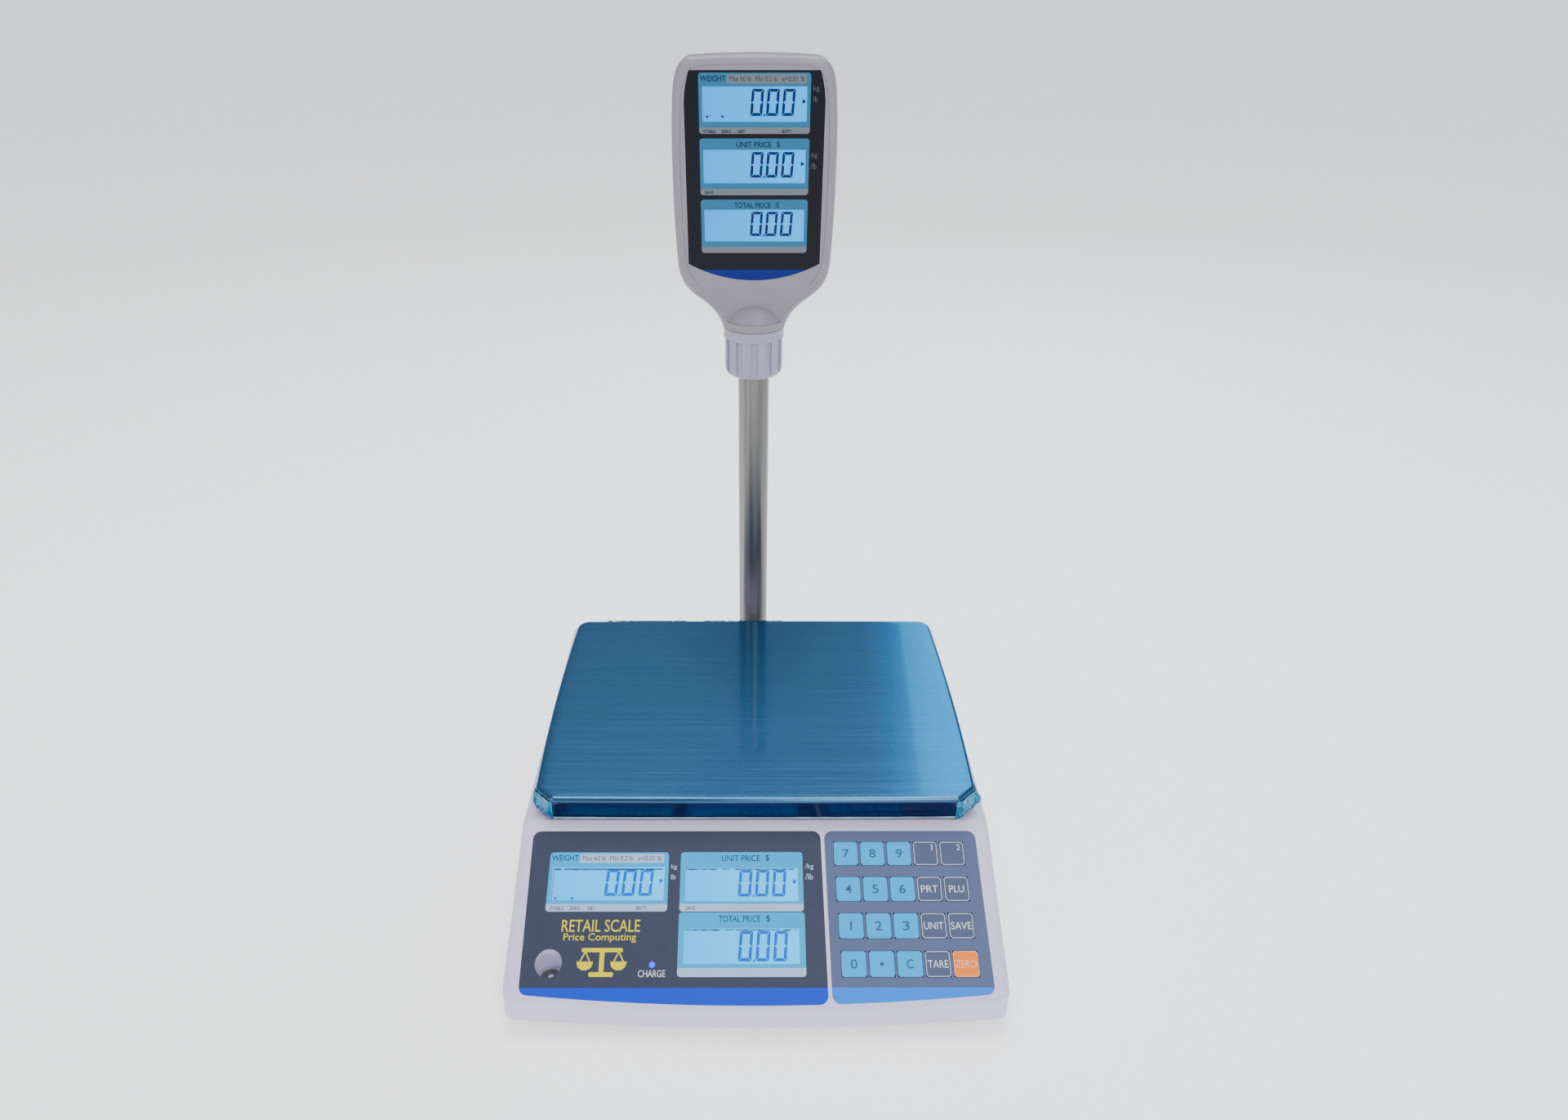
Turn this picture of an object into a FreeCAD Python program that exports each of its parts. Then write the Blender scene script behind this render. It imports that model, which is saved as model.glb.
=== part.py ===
import FreeCAD, Part
import math
import os
import re
import Sketcher
from FreeCAD import Vector

# A counter-top price scale: a wedge-shaped housing on four levelling feet, a tray that lifts off
# a load cell, and a customer display that swivels on a pole behind the housing.
# +X is to the operator's right, +Y runs back from the operator and +Z is up, in millimetres.
# Parts are drawn with Y counted from the tray's front edge and Z from the table. Each part's
# placement adds the sheet's y_shift, which puts the origin under the middle of the whole scale.
# Parts of the sloping panel are drawn flat, with x to the right, y up the slope and z outwards.

SIZES = {
    # whole scale
    "y_shift": -117.0,
    # housing
    "base_half_w": 176.6, "base_front_y": -113.0, "base_corner_y": -105.8, "base_rear_y": 290.0,
    "base_low_z": 10.0, "base_wall": 3.0, "base_taper": 1.0, "base_corner_rad": 9.0,
    "roof_z": 92.0, "rear_slope_y": 266.0, "rear_slope_z": 70.0, "roof_edge_rad": 6.0,
    "panel_slope": 29.158, "panel_y": -5.0, "panel_z": 88.0,
    "cover_gap": 0.8, "floor_t": 3.0, "rim_top_z": 24.0, "rim_t": 2.0,
    "boss_rad": 4.5, "boss_pilot_rad": 1.5, "screw_rad": 1.5, "screw_head_rad": 3.2,
    "screw_x": 160.0, "screw_front_y": -90.0, "screw_mid_y": 95.0, "screw_rear_y": 276.0,
    "screw_top_z": 36.0, "screw_head_t": 2.0, "hole_slack": 0.25,
    # tray and its film
    "pan_half_w": 167.5, "pan_bow": 3.0, "pan_depth": 242.0, "pan_top_z": 115.0,
    "pan_skirt": 17.5, "pan_t": 0.8, "pan_facet": 13.0, "pan_facet_rad": 6.0,
    "pan_corner_rad": 11.0, "pan_edge_rad": 3.0, "film_t": 0.2,
    # load path under the tray
    "cell_len": 130.0, "cell_w": 30.0, "cell_high": 22.0, "cell_low_z": 24.0, "cell_y": 121.0,
    "cell_hole_rad": 7.0, "cell_hole_x": 10.0, "cell_slot_high": 4.0, "cell_bolt_rad": 3.0,
    "cell_bolt_in": 8.0, "cell_bolt_pitch": 15.0, "bolt_head_rad": 5.0, "bolt_head_t": 6.0,
    "bolt_end_gap": 2.0,
    "support_gap": 0.9, "column_x": 33.0, "column_w": 32.0, "column_d": 27.0,
    "arm_low_z": 96.0, "arm_t": 6.0, "arm_w": 22.0, "arm_reach_x": 140.0, "arm_reach_y": 95.0,
    "bumper_rad": 8.0, "well_margin": 5.0,
    # levelling feet
    "foot_x": 140.0, "foot_front_y": -60.0, "foot_rear_y": 250.0, "foot_rad": 15.0,
    "foot_high": 7.0, "foot_edge": 1.5, "stud_rad": 4.0, "stud_top_z": 32.0, "stud_slack": 0.3,
    "foot_boss_rad": 9.0, "foot_boss_top_z": 30.0,
    # battery and its cover
    "battery_x": -80.0, "battery_y": 211.0, "battery_w": 70.0, "battery_len": 100.0,
    "battery_high": 47.0, "terminal_w": 5.0, "terminal_high": 6.0, "terminal_t": 1.0,
    "terminal_x": 25.0, "terminal_in": 6.0,
    "hatch_w": 62.0, "hatch_len": 88.0, "hatch_cover_w": 76.0, "hatch_cover_len": 100.0,
    "hatch_t": 2.2, "hatch_gap": 0.3, "grip_count": 5.0, "grip_w": 30.0, "grip_d": 2.0,
    "grip_pitch": 4.0, "grip_proud": 1.0, "grip_in": 10.0,
    # display overlay and its windows, drawn on the panel
    "over_t": 0.5, "over_rad": 6.0, "over_top": 0.0, "over_low": -113.2,
    "over_mid_low": -120.5, "over_lean": 1.4, "show_left": -165.5, "show_right": 48.4,
    "pad_left": 51.0, "pad_right": 163.6, "lit_w": 82.0, "lit_high": 24.0,
    "glass_w": 92.0, "glass_high": 30.0, "glass_t": 7.0, "glass_drop": 0.9, "glass_slack": 0.3,
    "weight_x": -107.5, "weight_y": -38.2, "price_x": -10.2, "unit_y": -38.9, "total_y": -81.5,
    "led_x": -72.7, "led_y": -93.9, "led_rad": 2.0, "led_len": 6.0, "led_flange_rad": 2.6,
    "level_x": -145.2, "level_s": -93.0, "level_rad": 9.5, "level_well_rad": 12.0,
    "level_vial_low_z": 18.0, "level_vial_high": 10.0, "level_vial_rad": 2.0, "level_well_low_z": 16.0,
    "board_t": 1.6, "board_left": -158.0, "board_right": 44.0, "board_top": -22.0,
    "board_low": -106.0, "chip_w": 18.0, "chip_d": 12.0, "chip_t": 3.0, "chip_s": -94.0,
    # keypad
    "key_w": 17.4, "key_high": 17.0, "key_t": 1.2, "key_proud": 0.3, "key_gap": 0.3,
    "key_rad": 2.0, "key_x": 66.6, "key_y": -16.8, "key_pitch_x": 19.6,
    "key_pitch_y": 25.6, "key_drift": 0.6, "membrane_t": 2.0, "key_well": 1.7,
    # switch and socket on the rear wall
    "switch_x": 110.0, "switch_z": 44.0, "switch_w": 13.0, "switch_high": 21.0,
    "switch_deep": 18.0, "bezel_w": 17.0, "bezel_high": 25.0, "bezel_t": 2.0,
    "rocker_w": 10.0, "rocker_high": 18.0, "rocker_tilt": 9.0, "rocker_deep": 5.0,
    "rocker_bevel": 1.5,
    "jack_x": 70.0, "jack_z": 44.0, "jack_flange_rad": 7.0,
    "jack_body_rad": 5.5, "jack_deep": 14.0, "jack_bore_rad": 2.9, "jack_pin_rad": 1.0,
    "jack_back_t": 4.0,
    # pole and its bracket
    "pole_y": 320.0, "pole_rad": 14.0, "pole_wall": 1.2, "pole_low_z": 16.0, "pole_top_z": 390.0,
    "socket_rad": 21.0, "socket_low_z": 12.0, "socket_top_z": 46.0, "bracket_w": 66.0,
    "bracket_t": 6.0, "web_w": 24.0, "bracket_screw_x": 25.0, "bracket_screw_low_z": 29.0,
    "bracket_screw_top_z": 62.0, "bracket_screw_rad": 2.0, "bracket_screw_head_rad": 3.8,
    "bracket_screw_len": 12.0, "clamp_low_z": 22.0, "clamp_top_z": 38.0,
    # collar, sleeve and pole cap
    "collar_rad": 25.8, "collar_low_z": 332.0, "collar_step_z": 340.0, "collar_top_z": 375.3,
    "collar_flange_z": 366.6, "collar_flange_rad": 26.5, "collar_foot_rad": 19.0,
    "flute_deep": 1.7, "flute_w": 6.2,
    "flute_count": 12.0, "sleeve_rad": 19.0, "sleeve_slack": 0.35, "cap_flange_rad": 18.5,
    "cap_t": 2.5, "cap_plug_len": 12.0, "bore_top_z": 394.0, "duct_rad": 6.0,
    # display head, drawn upright
    "head_face_y": 299.0, "head_back_y": 337.0, "head_split_y": 318.0, "head_wall": 2.5,
    "head_low_z": 376.0, "head_top_z": 592.0, "head_edge_rad": 6.0, "neck_rad": 27.0,
    "neck_band": 6.5, "head_cavity_low_z": 410.0, "rim_w": 6.4, "rim_drop": 0.8,
    "head_over_drop": 1.3, "head_glass_gap": 0.3, "chin_top_z": 418.0, "chin_tilt": 13.0,
    "head_screw_x": 56.0, "head_screw_low_z": 446.0, "head_screw_top_z": 560.0,
    "head_post_rad": 3.6,
    "head_glass_w": 86.0, "head_glass_high": 30.0, "head_lit_w": 82.0, "head_lit_high": 25.4,
    "head_weight_z": 556.8, "head_unit_z": 510.9, "head_total_z": 465.0,
}

doc = FreeCAD.newDocument("price_scale")
sheet = doc.addObject("Spreadsheet::Sheet", "sizes")
for row, (alias, value) in enumerate(SIZES.items(), start=1):
    sheet.set("A%d" % row, alias)
    sheet.set("B%d" % row, "%g" % value)
    sheet.setAlias("B%d" % row, alias)
doc.recompute()


def size(alias):
    """A driving dimension, read back from the sheet."""
    return float(sheet.get(alias))


def in_sheet(formula):
    """The formula with each alias turned into a reference to the sheet."""
    return re.sub(r"[a-z]+(_[a-z]+)+", lambda word: "sizes." + word.group(0), str(formula))


def bind(thing, **formulas):
    """Binds properties of an object to the sheet; x, y, z are its place."""
    for name, formula in formulas.items():
        path = "Placement.Base." + name if name in ("x", "y", "z") else name
        thing.setExpression(path, in_sheet(formula))
    return thing


def primitive(kind, name, **formulas):
    return bind(doc.addObject("Part::" + kind, name), **formulas)


def box(name, x, y, z, w, d, t):
    """A box from its lowest corner."""
    return primitive("Box", name, x=x, y=y, z=z, Length=w, Width=d, Height=t)


def rod(name, x, y, z, radius, length):
    """An upright cylinder from the centre of its lower end."""
    return primitive("Cylinder", name, x=x, y=y, z=z, Radius=radius, Height=length)


def rod_back(name, x, y, z, radius, length):
    """A cylinder that runs back along +Y from the centre of its front end."""
    made = doc.addObject("Part::Cylinder", name)
    made.Placement = FreeCAD.Placement(Vector(), FreeCAD.Rotation(Vector(1, 0, 0), -90))
    return bind(made, x=x, y=y, z=z, Radius=radius, Height=length)


def fused(name, shapes):
    made = doc.addObject("Part::MultiFuse", name)
    made.Shapes = shapes
    return made


def common(name, shapes):
    made = doc.addObject("Part::MultiCommon", name)
    made.Shapes = shapes
    return made


def cut(name, base, tools):
    made = doc.addObject("Part::Cut", name)
    made.Base = base
    made.Tool = tools[0] if len(tools) == 1 else fused(name + "_tools", tools)
    return made


def edge_numbers(shape, test):
    return [i + 1 for i, edge in enumerate(shape.Edges) if test(edge)]


def rounded(name, base, radius, test):
    """Rounds those edges of base that pass the test."""
    doc.recompute()
    made = doc.addObject("Part::Fillet", name)
    made.Base = base
    made.Edges = [(n, radius, radius) for n in edge_numbers(base.Shape, test)]
    return made


def is_upright(edge):
    low, high = edge.BoundBox.ZMin, edge.BoundBox.ZMax
    return high - low > 3 and edge.BoundBox.XLength < 2 and edge.BoundBox.YLength < 2


nodes = []


def node(thing, label, frame="level"):
    """Names a finished sub-part and gives it its place in the scale."""
    thing.Label = label
    if frame == "panel":
        turn = FreeCAD.Rotation(Vector(1, 0, 0), size("panel_slope"))
        thing.Placement = FreeCAD.Placement(Vector(), turn)
        bind(thing, y="panel_y + y_shift", z="panel_z")
    else:
        bind(thing, y="y_shift")
    nodes.append(thing)
    return thing


# ---- Sketches --------------------------------------------------------------------------------


def new_sketch(name, rotation=None):
    made = doc.addObject("Sketcher::SketchObject", name)
    if rotation:
        made.Placement = FreeCAD.Placement(Vector(), rotation)
    return made


STANDING = FreeCAD.Rotation(Vector(1, 0, 0), 90)
SIDEWAYS = FreeCAD.Rotation(Vector(0, 0, 1), 90) * STANDING


def draw(sketch, points):
    """A closed outline. A point is (x, y), or (x, y, via) to reach it by an arc through the point
    via, or by a smooth curve through a list of points."""
    here = Vector(points[-1][0], points[-1][1], 0)
    for point in points:
        there = Vector(point[0], point[1], 0)
        via = point[2] if len(point) == 3 else None
        if isinstance(via, list):
            curve = Part.BSplineCurve()
            curve.interpolate([here] + [Vector(x, y, 0) for x, y in via] + [there])
            sketch.addGeometry(curve, False)
        elif via:
            sketch.addGeometry(Part.Arc(here, Vector(via[0], via[1], 0), there), False)
        else:
            sketch.addGeometry(Part.LineSegment(here, there), False)
        here = there
    return sketch


def rectangle(sketch, left, low, right, high):
    """A rectangle whose four sides are held by the sheet."""
    corners = [Vector(0, 0, 0), Vector(5, 0, 0), Vector(5, 5, 0), Vector(0, 5, 0)]
    first = sketch.GeometryCount
    for i in range(4):
        sketch.addGeometry(Part.LineSegment(corners[i], corners[(i + 1) % 4]), False)
    for i in range(4):
        after = first + (i + 1) % 4
        sketch.addConstraint(Sketcher.Constraint("Coincident", first + i, 2, after, 1))
        kind = "Horizontal" if i % 2 == 0 else "Vertical"
        sketch.addConstraint(Sketcher.Constraint(kind, first + i))
    sides = [("DistanceX", 1, left), ("DistanceY", 1, low), ("DistanceX", 2, right)]
    for kind, end, formula in sides:
        n = sketch.addConstraint(Sketcher.Constraint(kind, -1, 1, first, end, 1.0))
        sketch.setExpression("Constraints[%d]" % n, in_sheet(formula))
    n = sketch.addConstraint(Sketcher.Constraint("DistanceY", -1, 1, first + 2, 2, 1.0))
    sketch.setExpression("Constraints[%d]" % n, in_sheet(high))
    return sketch


def extruded(name, sketch, length, taper=None, both=False):
    made = doc.addObject("Part::Extrusion", name)
    made.Base = sketch
    made.DirMode = "Normal"
    made.Solid = True
    made.Symmetric = both
    bind(made, LengthFwd=length)
    if taper:
        bind(made, TaperAngle=taper)
    return made


def new_body(name):
    return doc.addObject("PartDesign::Body", name)


def body_sketch(body, name, role="XY_Plane"):
    plane = [p for p in body.Origin.OriginFeatures if p.Role == role][0]
    made = body.newObject("Sketcher::SketchObject", name)
    made.AttachmentSupport = [(plane, "")]
    made.MapMode = "FlatFace"
    return made


def lifted(sketch, height):
    """Moves a sketch along its plane's normal."""
    sketch.setExpression("AttachmentOffset.Base.z", in_sheet(height))
    return sketch


def pad(body, sketch, length, backwards=False):
    made = body.newObject("PartDesign::Pad", sketch.Name + "_pad")
    made.Profile = sketch
    made.Reversed = backwards
    return bind(made, Length=length)


def pocket(body, sketch, length, backwards=False):
    made = body.newObject("PartDesign::Pocket", sketch.Name + "_cut")
    made.Profile = sketch
    made.Reversed = backwards
    return bind(made, Length=length)


def soften(body, feature, radius, test):
    """A PartDesign fillet on those edges of a feature that pass the test."""
    doc.recompute()
    made = body.newObject("PartDesign::Fillet", feature.Name + "_round")
    made.Base = (feature, ["Edge%d" % n for n in edge_numbers(feature.Shape, test)])
    return bind(made, Radius=radius)


# ---- Housing ---------------------------------------------------------------------------------


def housing_plan(sketch, inset):
    """The housing seen from above: a bowed front and three straight sides."""
    side = size("base_half_w") - inset
    front = size("base_front_y") + inset
    corner = size("base_corner_y") + inset
    rear = size("base_rear_y") - inset
    return draw(sketch, [(-side, corner), (side, corner, (0, front)), (side, rear), (-side, rear)])


def roof_line(inset):
    """The housing seen from its side, sloping panel and all, moved in by the inset."""
    slope = math.radians(size("panel_slope"))
    top = size("roof_z") - inset
    high = size("panel_z") - inset / math.cos(slope)
    back = math.atan2(size("roof_z") - size("rear_slope_z"),
                      size("base_rear_y") - size("rear_slope_y"))
    rear_high = size("rear_slope_z") - inset / math.cos(back)
    beyond = 40.0
    front_y = size("panel_y") - 3 * beyond
    crest_y = size("panel_y") + (top - high) / math.tan(slope)
    far_y = size("base_rear_y") + beyond
    fall_y = size("base_rear_y") - (top - rear_high) / math.tan(back)
    return [
        (front_y, -beyond),
        (far_y, -beyond),
        (far_y, rear_high - beyond * math.tan(back)),
        (fall_y, top),
        (crest_y, top),
        (front_y, high - 3 * beyond * math.tan(slope)),
    ]


def housing_form(name, inset, low_z):
    """The housing as a full block, moved in by the inset and open downwards to low_z."""
    plan = housing_plan(new_sketch(name + "_plan"), inset)
    block = extruded(name + "_block", plan, "roof_z", taper="-base_taper")
    bind(block, z=low_z)
    profile = draw(new_sketch(name + "_profile", SIDEWAYS), roof_line(inset))
    wedge = extruded(name + "_wedge", profile, "3 * base_half_w", both=True)
    form = common(name + "_form", [block, wedge])
    upright = rounded(name + "_corners", form, size("base_corner_rad") - inset, is_upright)

    def on_roof(edge):
        box_of = edge.BoundBox
        return box_of.ZMin > size("base_low_z") + 5 and not spans_roof(edge)

    def spans_roof(edge):
        return edge.BoundBox.XLength > 200 and abs(edge.BoundBox.YMin - size("panel_y")) < 20

    return rounded(name + "_edges", upright, size("roof_edge_rad") - inset, on_roof)


def panel_window(name, x, y, w, high, low, depth):
    """A rectangular tool on the panel, centred on x, y, from low up by depth."""
    sketch = rectangle(new_sketch(name + "_outline"), "%s - (%s) / 2" % (x, w),
                       "%s - (%s) / 2" % (y, high), "%s + (%s) / 2" % (x, w),
                       "%s + (%s) / 2" % (y, high))
    return bind(extruded(name, sketch, depth), z=low)


FEET = {
    "front_left": ("-foot_x", "foot_front_y"),
    "front_right": ("foot_x", "foot_front_y"),
    "rear_left": ("-foot_x", "foot_rear_y"),
    "rear_right": ("foot_x", "foot_rear_y"),
}
SCREWS = [(x, y) for x in ("-screw_x", "screw_x")
          for y in ("screw_front_y", "screw_mid_y", "screw_rear_y")]
WINDOWS = {
    "weight": ("weight_x", "weight_y"),
    "unit_price": ("price_x", "unit_y"),
    "total_price": ("price_x", "total_y"),
}


def overlay_outline(sketch, left, right):
    """An overlay: straight on top, leaning a little at its sides like the columns of keys, and
    bowed with the housing's front. left and right are its top corners."""
    top, lean = size("over_top"), size("over_lean")
    mid_low = size("over_mid_low")
    fall = (size("over_low") - mid_low) / size("show_left") ** 2

    def low(x):
        return mid_low + fall * x * x

    low_left, low_right = left + lean, right + lean
    middle = (low_left + low_right) / 2
    bottom = (low_left, low(low_left), (middle, low(middle)))
    return draw(sketch, [bottom, (left, top), (right, top), (low_right, low(low_right))])


def overlay_plate(name, left, right, low, depth):
    sketch = overlay_outline(new_sketch(name + "_outline"), size(left), size(right))
    plate = bind(extruded(name, sketch, depth), z=low)
    return rounded(name + "_round", plate, size("over_rad"), is_sharp_corner)


def is_sharp_corner(edge):
    return edge.BoundBox.XLength < 0.01 and edge.BoundBox.YLength < 0.01


def top_cover():
    """The white upper shell with its bosses, windows, recesses and the hole for the column."""
    outside = housing_form("outside", 0.0, "base_low_z")
    inside = housing_form("inside", size("base_wall"), "base_low_z - 1")
    bosses = [rod("boss%d" % i, x, y, "floor_t + base_low_z", "boss_rad", "roof_z")
              for i, (x, y) in enumerate(SCREWS)]
    well = rod("well", "level_x", "level_s * cos(panel_slope * 1deg) + panel_y",
               "level_well_low_z", "level_well_rad", "roof_z")
    posts = common("posts", [outside, fused("all_posts", bosses + [well])])
    shell = cut("shell", outside, [inside])
    tools = [rod("pilot%d" % i, x, y, "base_low_z", "boss_pilot_rad", "screw_top_z - base_low_z")
             for i, (x, y) in enumerate(SCREWS)]
    tools.append(rod("well_bore", "level_x", "level_s * cos(panel_slope * 1deg) + panel_y",
                     "base_low_z", "level_rad", "roof_z"))
    tools.append(box("column_hole", "column_x - well_margin", "cell_y - column_d / 2 - well_margin",
                     "roof_z - 2 * base_wall", "column_w + 2 * well_margin",
                     "column_d + 2 * well_margin", "4 * base_wall"))
    tools.append(on_panel_at(overlay_plate("show_recess", "show_left", "show_right",
                                           "-over_t", "base_wall"), "-over_t"))
    tools.append(on_panel_at(overlay_plate("pad_recess", "pad_left", "pad_right",
                                           "-membrane_t", "2 * base_wall"), "-membrane_t"))
    for name, (x, y) in WINDOWS.items():
        window = panel_window(name + "_window", x, y, "glass_w + 2 * glass_slack",
                              "glass_high + 2 * glass_slack", "0", "4 * base_wall")
        tools.append(on_panel_at(window, "-2 * base_wall"))
    lamp = rod("lamp_hole", "led_x", "led_y", "0", "led_flange_rad", "2 * base_wall")
    tools.append(on_panel_at(lamp, "-2 * base_wall", "led_x", "led_y"))
    tools.append(box("switch_hole", "switch_x - switch_w / 2", "base_rear_y - 2 * base_wall",
                     "switch_z - switch_high / 2", "switch_w", "4 * base_wall", "switch_high"))
    tools.append(rod_back("jack_hole", "jack_x", "base_rear_y - 2 * base_wall", "jack_z",
                          "jack_body_rad", "4 * base_wall"))
    tools += bracket_rods("cover_pilot", "bracket_screw_rad", "base_rear_y - 2 * base_wall",
                          "4 * base_wall")
    return node(cut("top_cover_solid", fused("shell_and_posts", [shell, posts]), tools),
                "top_cover")


def on_panel_at(tool, depth, x="0", y="0"):
    """Lays a tool drawn on the panel onto the level housing, moved along the panel's normal."""
    turn = FreeCAD.Rotation(Vector(1, 0, 0), size("panel_slope"))
    tool.Placement = FreeCAD.Placement(Vector(), turn)
    sine, cosine = "sin(panel_slope * 1deg)", "cos(panel_slope * 1deg)"
    return bind(tool, x=x, y="panel_y + (%s) * %s - (%s) * %s" % (y, cosine, depth, sine),
                z="panel_z + (%s) * %s + (%s) * %s" % (y, sine, depth, cosine))


def bottom_cover():
    """The tray that closes the housing, with pedestal, foot bosses and screw holes."""
    body = new_body("floor")
    inset = size("base_wall") + size("cover_gap")
    plan = housing_plan(lifted(body_sketch(body, "floor_plan"), "base_low_z"), inset)
    plate = pad(body, plan, "rim_top_z - base_low_z")
    hollow = housing_plan(lifted(body_sketch(body, "floor_hollow"), "base_low_z + floor_t"),
                          inset + size("rim_t"))
    inner = pocket(body, hollow, "rim_top_z", backwards=True)
    soften(body, inner, "base_corner_rad - base_wall", is_rim_corner)
    pedestal = box("pedestal", "-cell_len / 2", "cell_y - cell_w / 2", "base_low_z + floor_t",
                   "2 * cell_bolt_in + cell_bolt_pitch", "cell_w",
                   "cell_low_z - base_low_z - floor_t")
    bosses = [rod("foot_boss_" + name, x, y, "base_low_z + floor_t", "foot_boss_rad",
                  "foot_boss_top_z - base_low_z - floor_t") for name, (x, y) in FEET.items()]
    tools = [rod("foot_hole_" + name, x, y, "0", "stud_rad + stud_slack", "roof_z")
             for name, (x, y) in FEET.items()]
    for i, (x, y) in enumerate(SCREWS):
        tools.append(rod("screw_hole%d" % i, x, y, "0", "screw_rad + hole_slack", "rim_top_z"))
        tools.append(rod("head_hole%d" % i, x, y, "0", "screw_head_rad + hole_slack",
                         "base_low_z + screw_head_t"))
        tools.append(rod("boss_seat%d" % i, x, y, "base_low_z + floor_t",
                         "boss_rad + hole_slack", "rim_top_z"))
    tools += [rod("bolt_hole%d" % i, x, "cell_y", "0", "cell_bolt_rad + hole_slack", "rim_top_z")
              for i, x in enumerate(fixed_bolts())]
    tools += [rod("bolt_head_hole%d" % i, x, "cell_y", "0", "bolt_head_rad + hole_slack",
                  "base_low_z + bolt_head_t") for i, x in enumerate(fixed_bolts())]
    tools.append(box("hatch_hole", "battery_x - hatch_w / 2", "battery_y - hatch_len / 2", "0",
                     "hatch_w", "hatch_len", "base_low_z + 2 * floor_t"))
    return node(cut("bottom_cover_solid", fused("floor_parts", [body, pedestal] + bosses), tools),
                "bottom_cover")


def is_rim_corner(edge):
    return is_sharp_corner(edge) and edge.BoundBox.ZLength > 10


def fixed_bolts():
    near = "-cell_len / 2 + cell_bolt_in"
    return [near, near + " + cell_bolt_pitch"]


def free_bolts():
    near = "cell_len / 2 - cell_bolt_in"
    return [near, near + " - cell_bolt_pitch"]


def housing_screws():
    """Six self-tapping screws that come up through the bottom cover into the bosses."""
    parts = []
    for i, (x, y) in enumerate(SCREWS):
        parts.append(rod("screw%d" % i, x, y, "base_low_z + screw_head_t", "screw_rad",
                         "screw_top_z - base_low_z - screw_head_t"))
        parts.append(rod("screw_head%d" % i, x, y, "base_low_z", "screw_head_rad",
                         "screw_head_t"))
    return node(fused("housing_screw_group", parts), "housing_screws")


def levelling_feet():
    """Four screw feet: a chamfered pad with its stud."""
    for name, (x, y) in FEET.items():
        pad_solid = rod("foot_pad_" + name, x, y, "0", "foot_rad", "foot_high")
        stud = rod("foot_stud_" + name, x, y, "foot_high", "stud_rad", "stud_top_z - foot_high")
        doc.recompute()
        edges = edge_numbers(pad_solid.Shape, lambda edge: edge.BoundBox.ZLength < 0.01)
        soft = doc.addObject("Part::Chamfer", "foot_edge_" + name)
        soft.Base = pad_solid
        soft.Edges = [(n, size("foot_edge"), size("foot_edge")) for n in edges]
        node(fused("foot_solid_" + name, [soft, stud]), "foot_" + name)


# ---- Load path -------------------------------------------------------------------------------


def load_cell():
    """The single-point cell: an aluminium beam with two joined holes across its middle."""
    beam = box("beam", "-cell_len / 2", "cell_y - cell_w / 2", "cell_low_z",
               "cell_len", "cell_w", "cell_high")
    middle = "cell_low_z + cell_high / 2"
    tools = [rod_back("flex_hole%d" % i, x, "cell_y - cell_w", middle, "cell_hole_rad",
                      "2 * cell_w") for i, x in enumerate(("-cell_hole_x", "cell_hole_x"))]
    tools.append(box("flex_slot", "-cell_hole_x", "cell_y - cell_w",
                     "cell_low_z + cell_high / 2 - cell_slot_high / 2",
                     "2 * cell_hole_x", "2 * cell_w", "cell_slot_high"))
    tools += [rod("cell_hole%d" % i, x, "cell_y", "cell_low_z - 1", "cell_bolt_rad",
                  "cell_high / 2 + 1") for i, x in enumerate(fixed_bolts())]
    tools += [rod("free_hole%d" % i, x, "cell_y", middle, "cell_bolt_rad + hole_slack",
                  "cell_high") for i, x in enumerate(free_bolts())]
    return node(cut("load_cell_solid", beam, tools), "load_cell")


def load_cell_bolts():
    """Two bolts that hold the cell's fixed end down on the pedestal."""
    parts = []
    for i, x in enumerate(fixed_bolts()):
        parts.append(rod("cell_bolt%d" % i, x, "cell_y", "base_low_z + bolt_head_t",
                         "cell_bolt_rad",
                         "cell_low_z + cell_high / 2 - base_low_z - bolt_head_t"))
        parts.append(rod("cell_bolt_head%d" % i, x, "cell_y", "base_low_z", "bolt_head_rad",
                         "bolt_head_t"))
    return node(fused("load_cell_bolt_group", parts), "load_cell_bolts")


def arm_tools(name, radius, low, length):
    """An upright cylinder at the end of each arm."""
    return [rod("%s%d" % (name, i), x, "cell_y + (%s)" % y, low, radius, length)
            for i, (x, y) in enumerate((x, y) for x in ("-arm_reach_x", "arm_reach_x")
                                       for y in ("-arm_reach_y", "arm_reach_y"))]


def pan_support():
    """The cast cross under the tray, with its column down to the cell's free end."""
    column = box("column", "column_x", "cell_y - column_d / 2",
                 "cell_low_z + cell_high + support_gap", "column_w", "column_d",
                 "arm_low_z - cell_low_z - cell_high - support_gap + 1")
    hub = box("hub", "-column_x", "cell_y - column_d", "arm_low_z", "2 * column_x + column_w",
              "2 * column_d", "arm_t")
    arms = []
    reach_x, reach_y = size("arm_reach_x"), size("arm_reach_y")
    angle = math.degrees(math.atan2(reach_y, reach_x))
    for i, turn in enumerate((angle, 180 - angle)):
        arm = doc.addObject("Part::Box", "arm%d" % i)
        bind(arm, Length="2 * sqrt(arm_reach_x ^ 2 + arm_reach_y ^ 2)", Width="arm_w",
             Height="arm_t")
        half = Vector(math.hypot(reach_x, reach_y), size("arm_w") / 2, 0)
        spin = FreeCAD.Rotation(Vector(0, 0, 1), turn)
        middle = Vector(0, size("cell_y"), size("arm_low_z"))
        arm.Placement = FreeCAD.Placement(middle - spin.multVec(half), spin)
        arms.append(arm)
    ends = arm_tools("arm_end", "arm_w / 2", "arm_low_z", "arm_t")
    holes = [rod("support_hole%d" % i, x, "cell_y", "cell_low_z", "cell_bolt_rad", "roof_z")
             for i, x in enumerate(free_bolts())]
    return node(cut("pan_support_solid", fused("cross", [column, hub] + arms + ends), holes),
                "pan_support")


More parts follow.
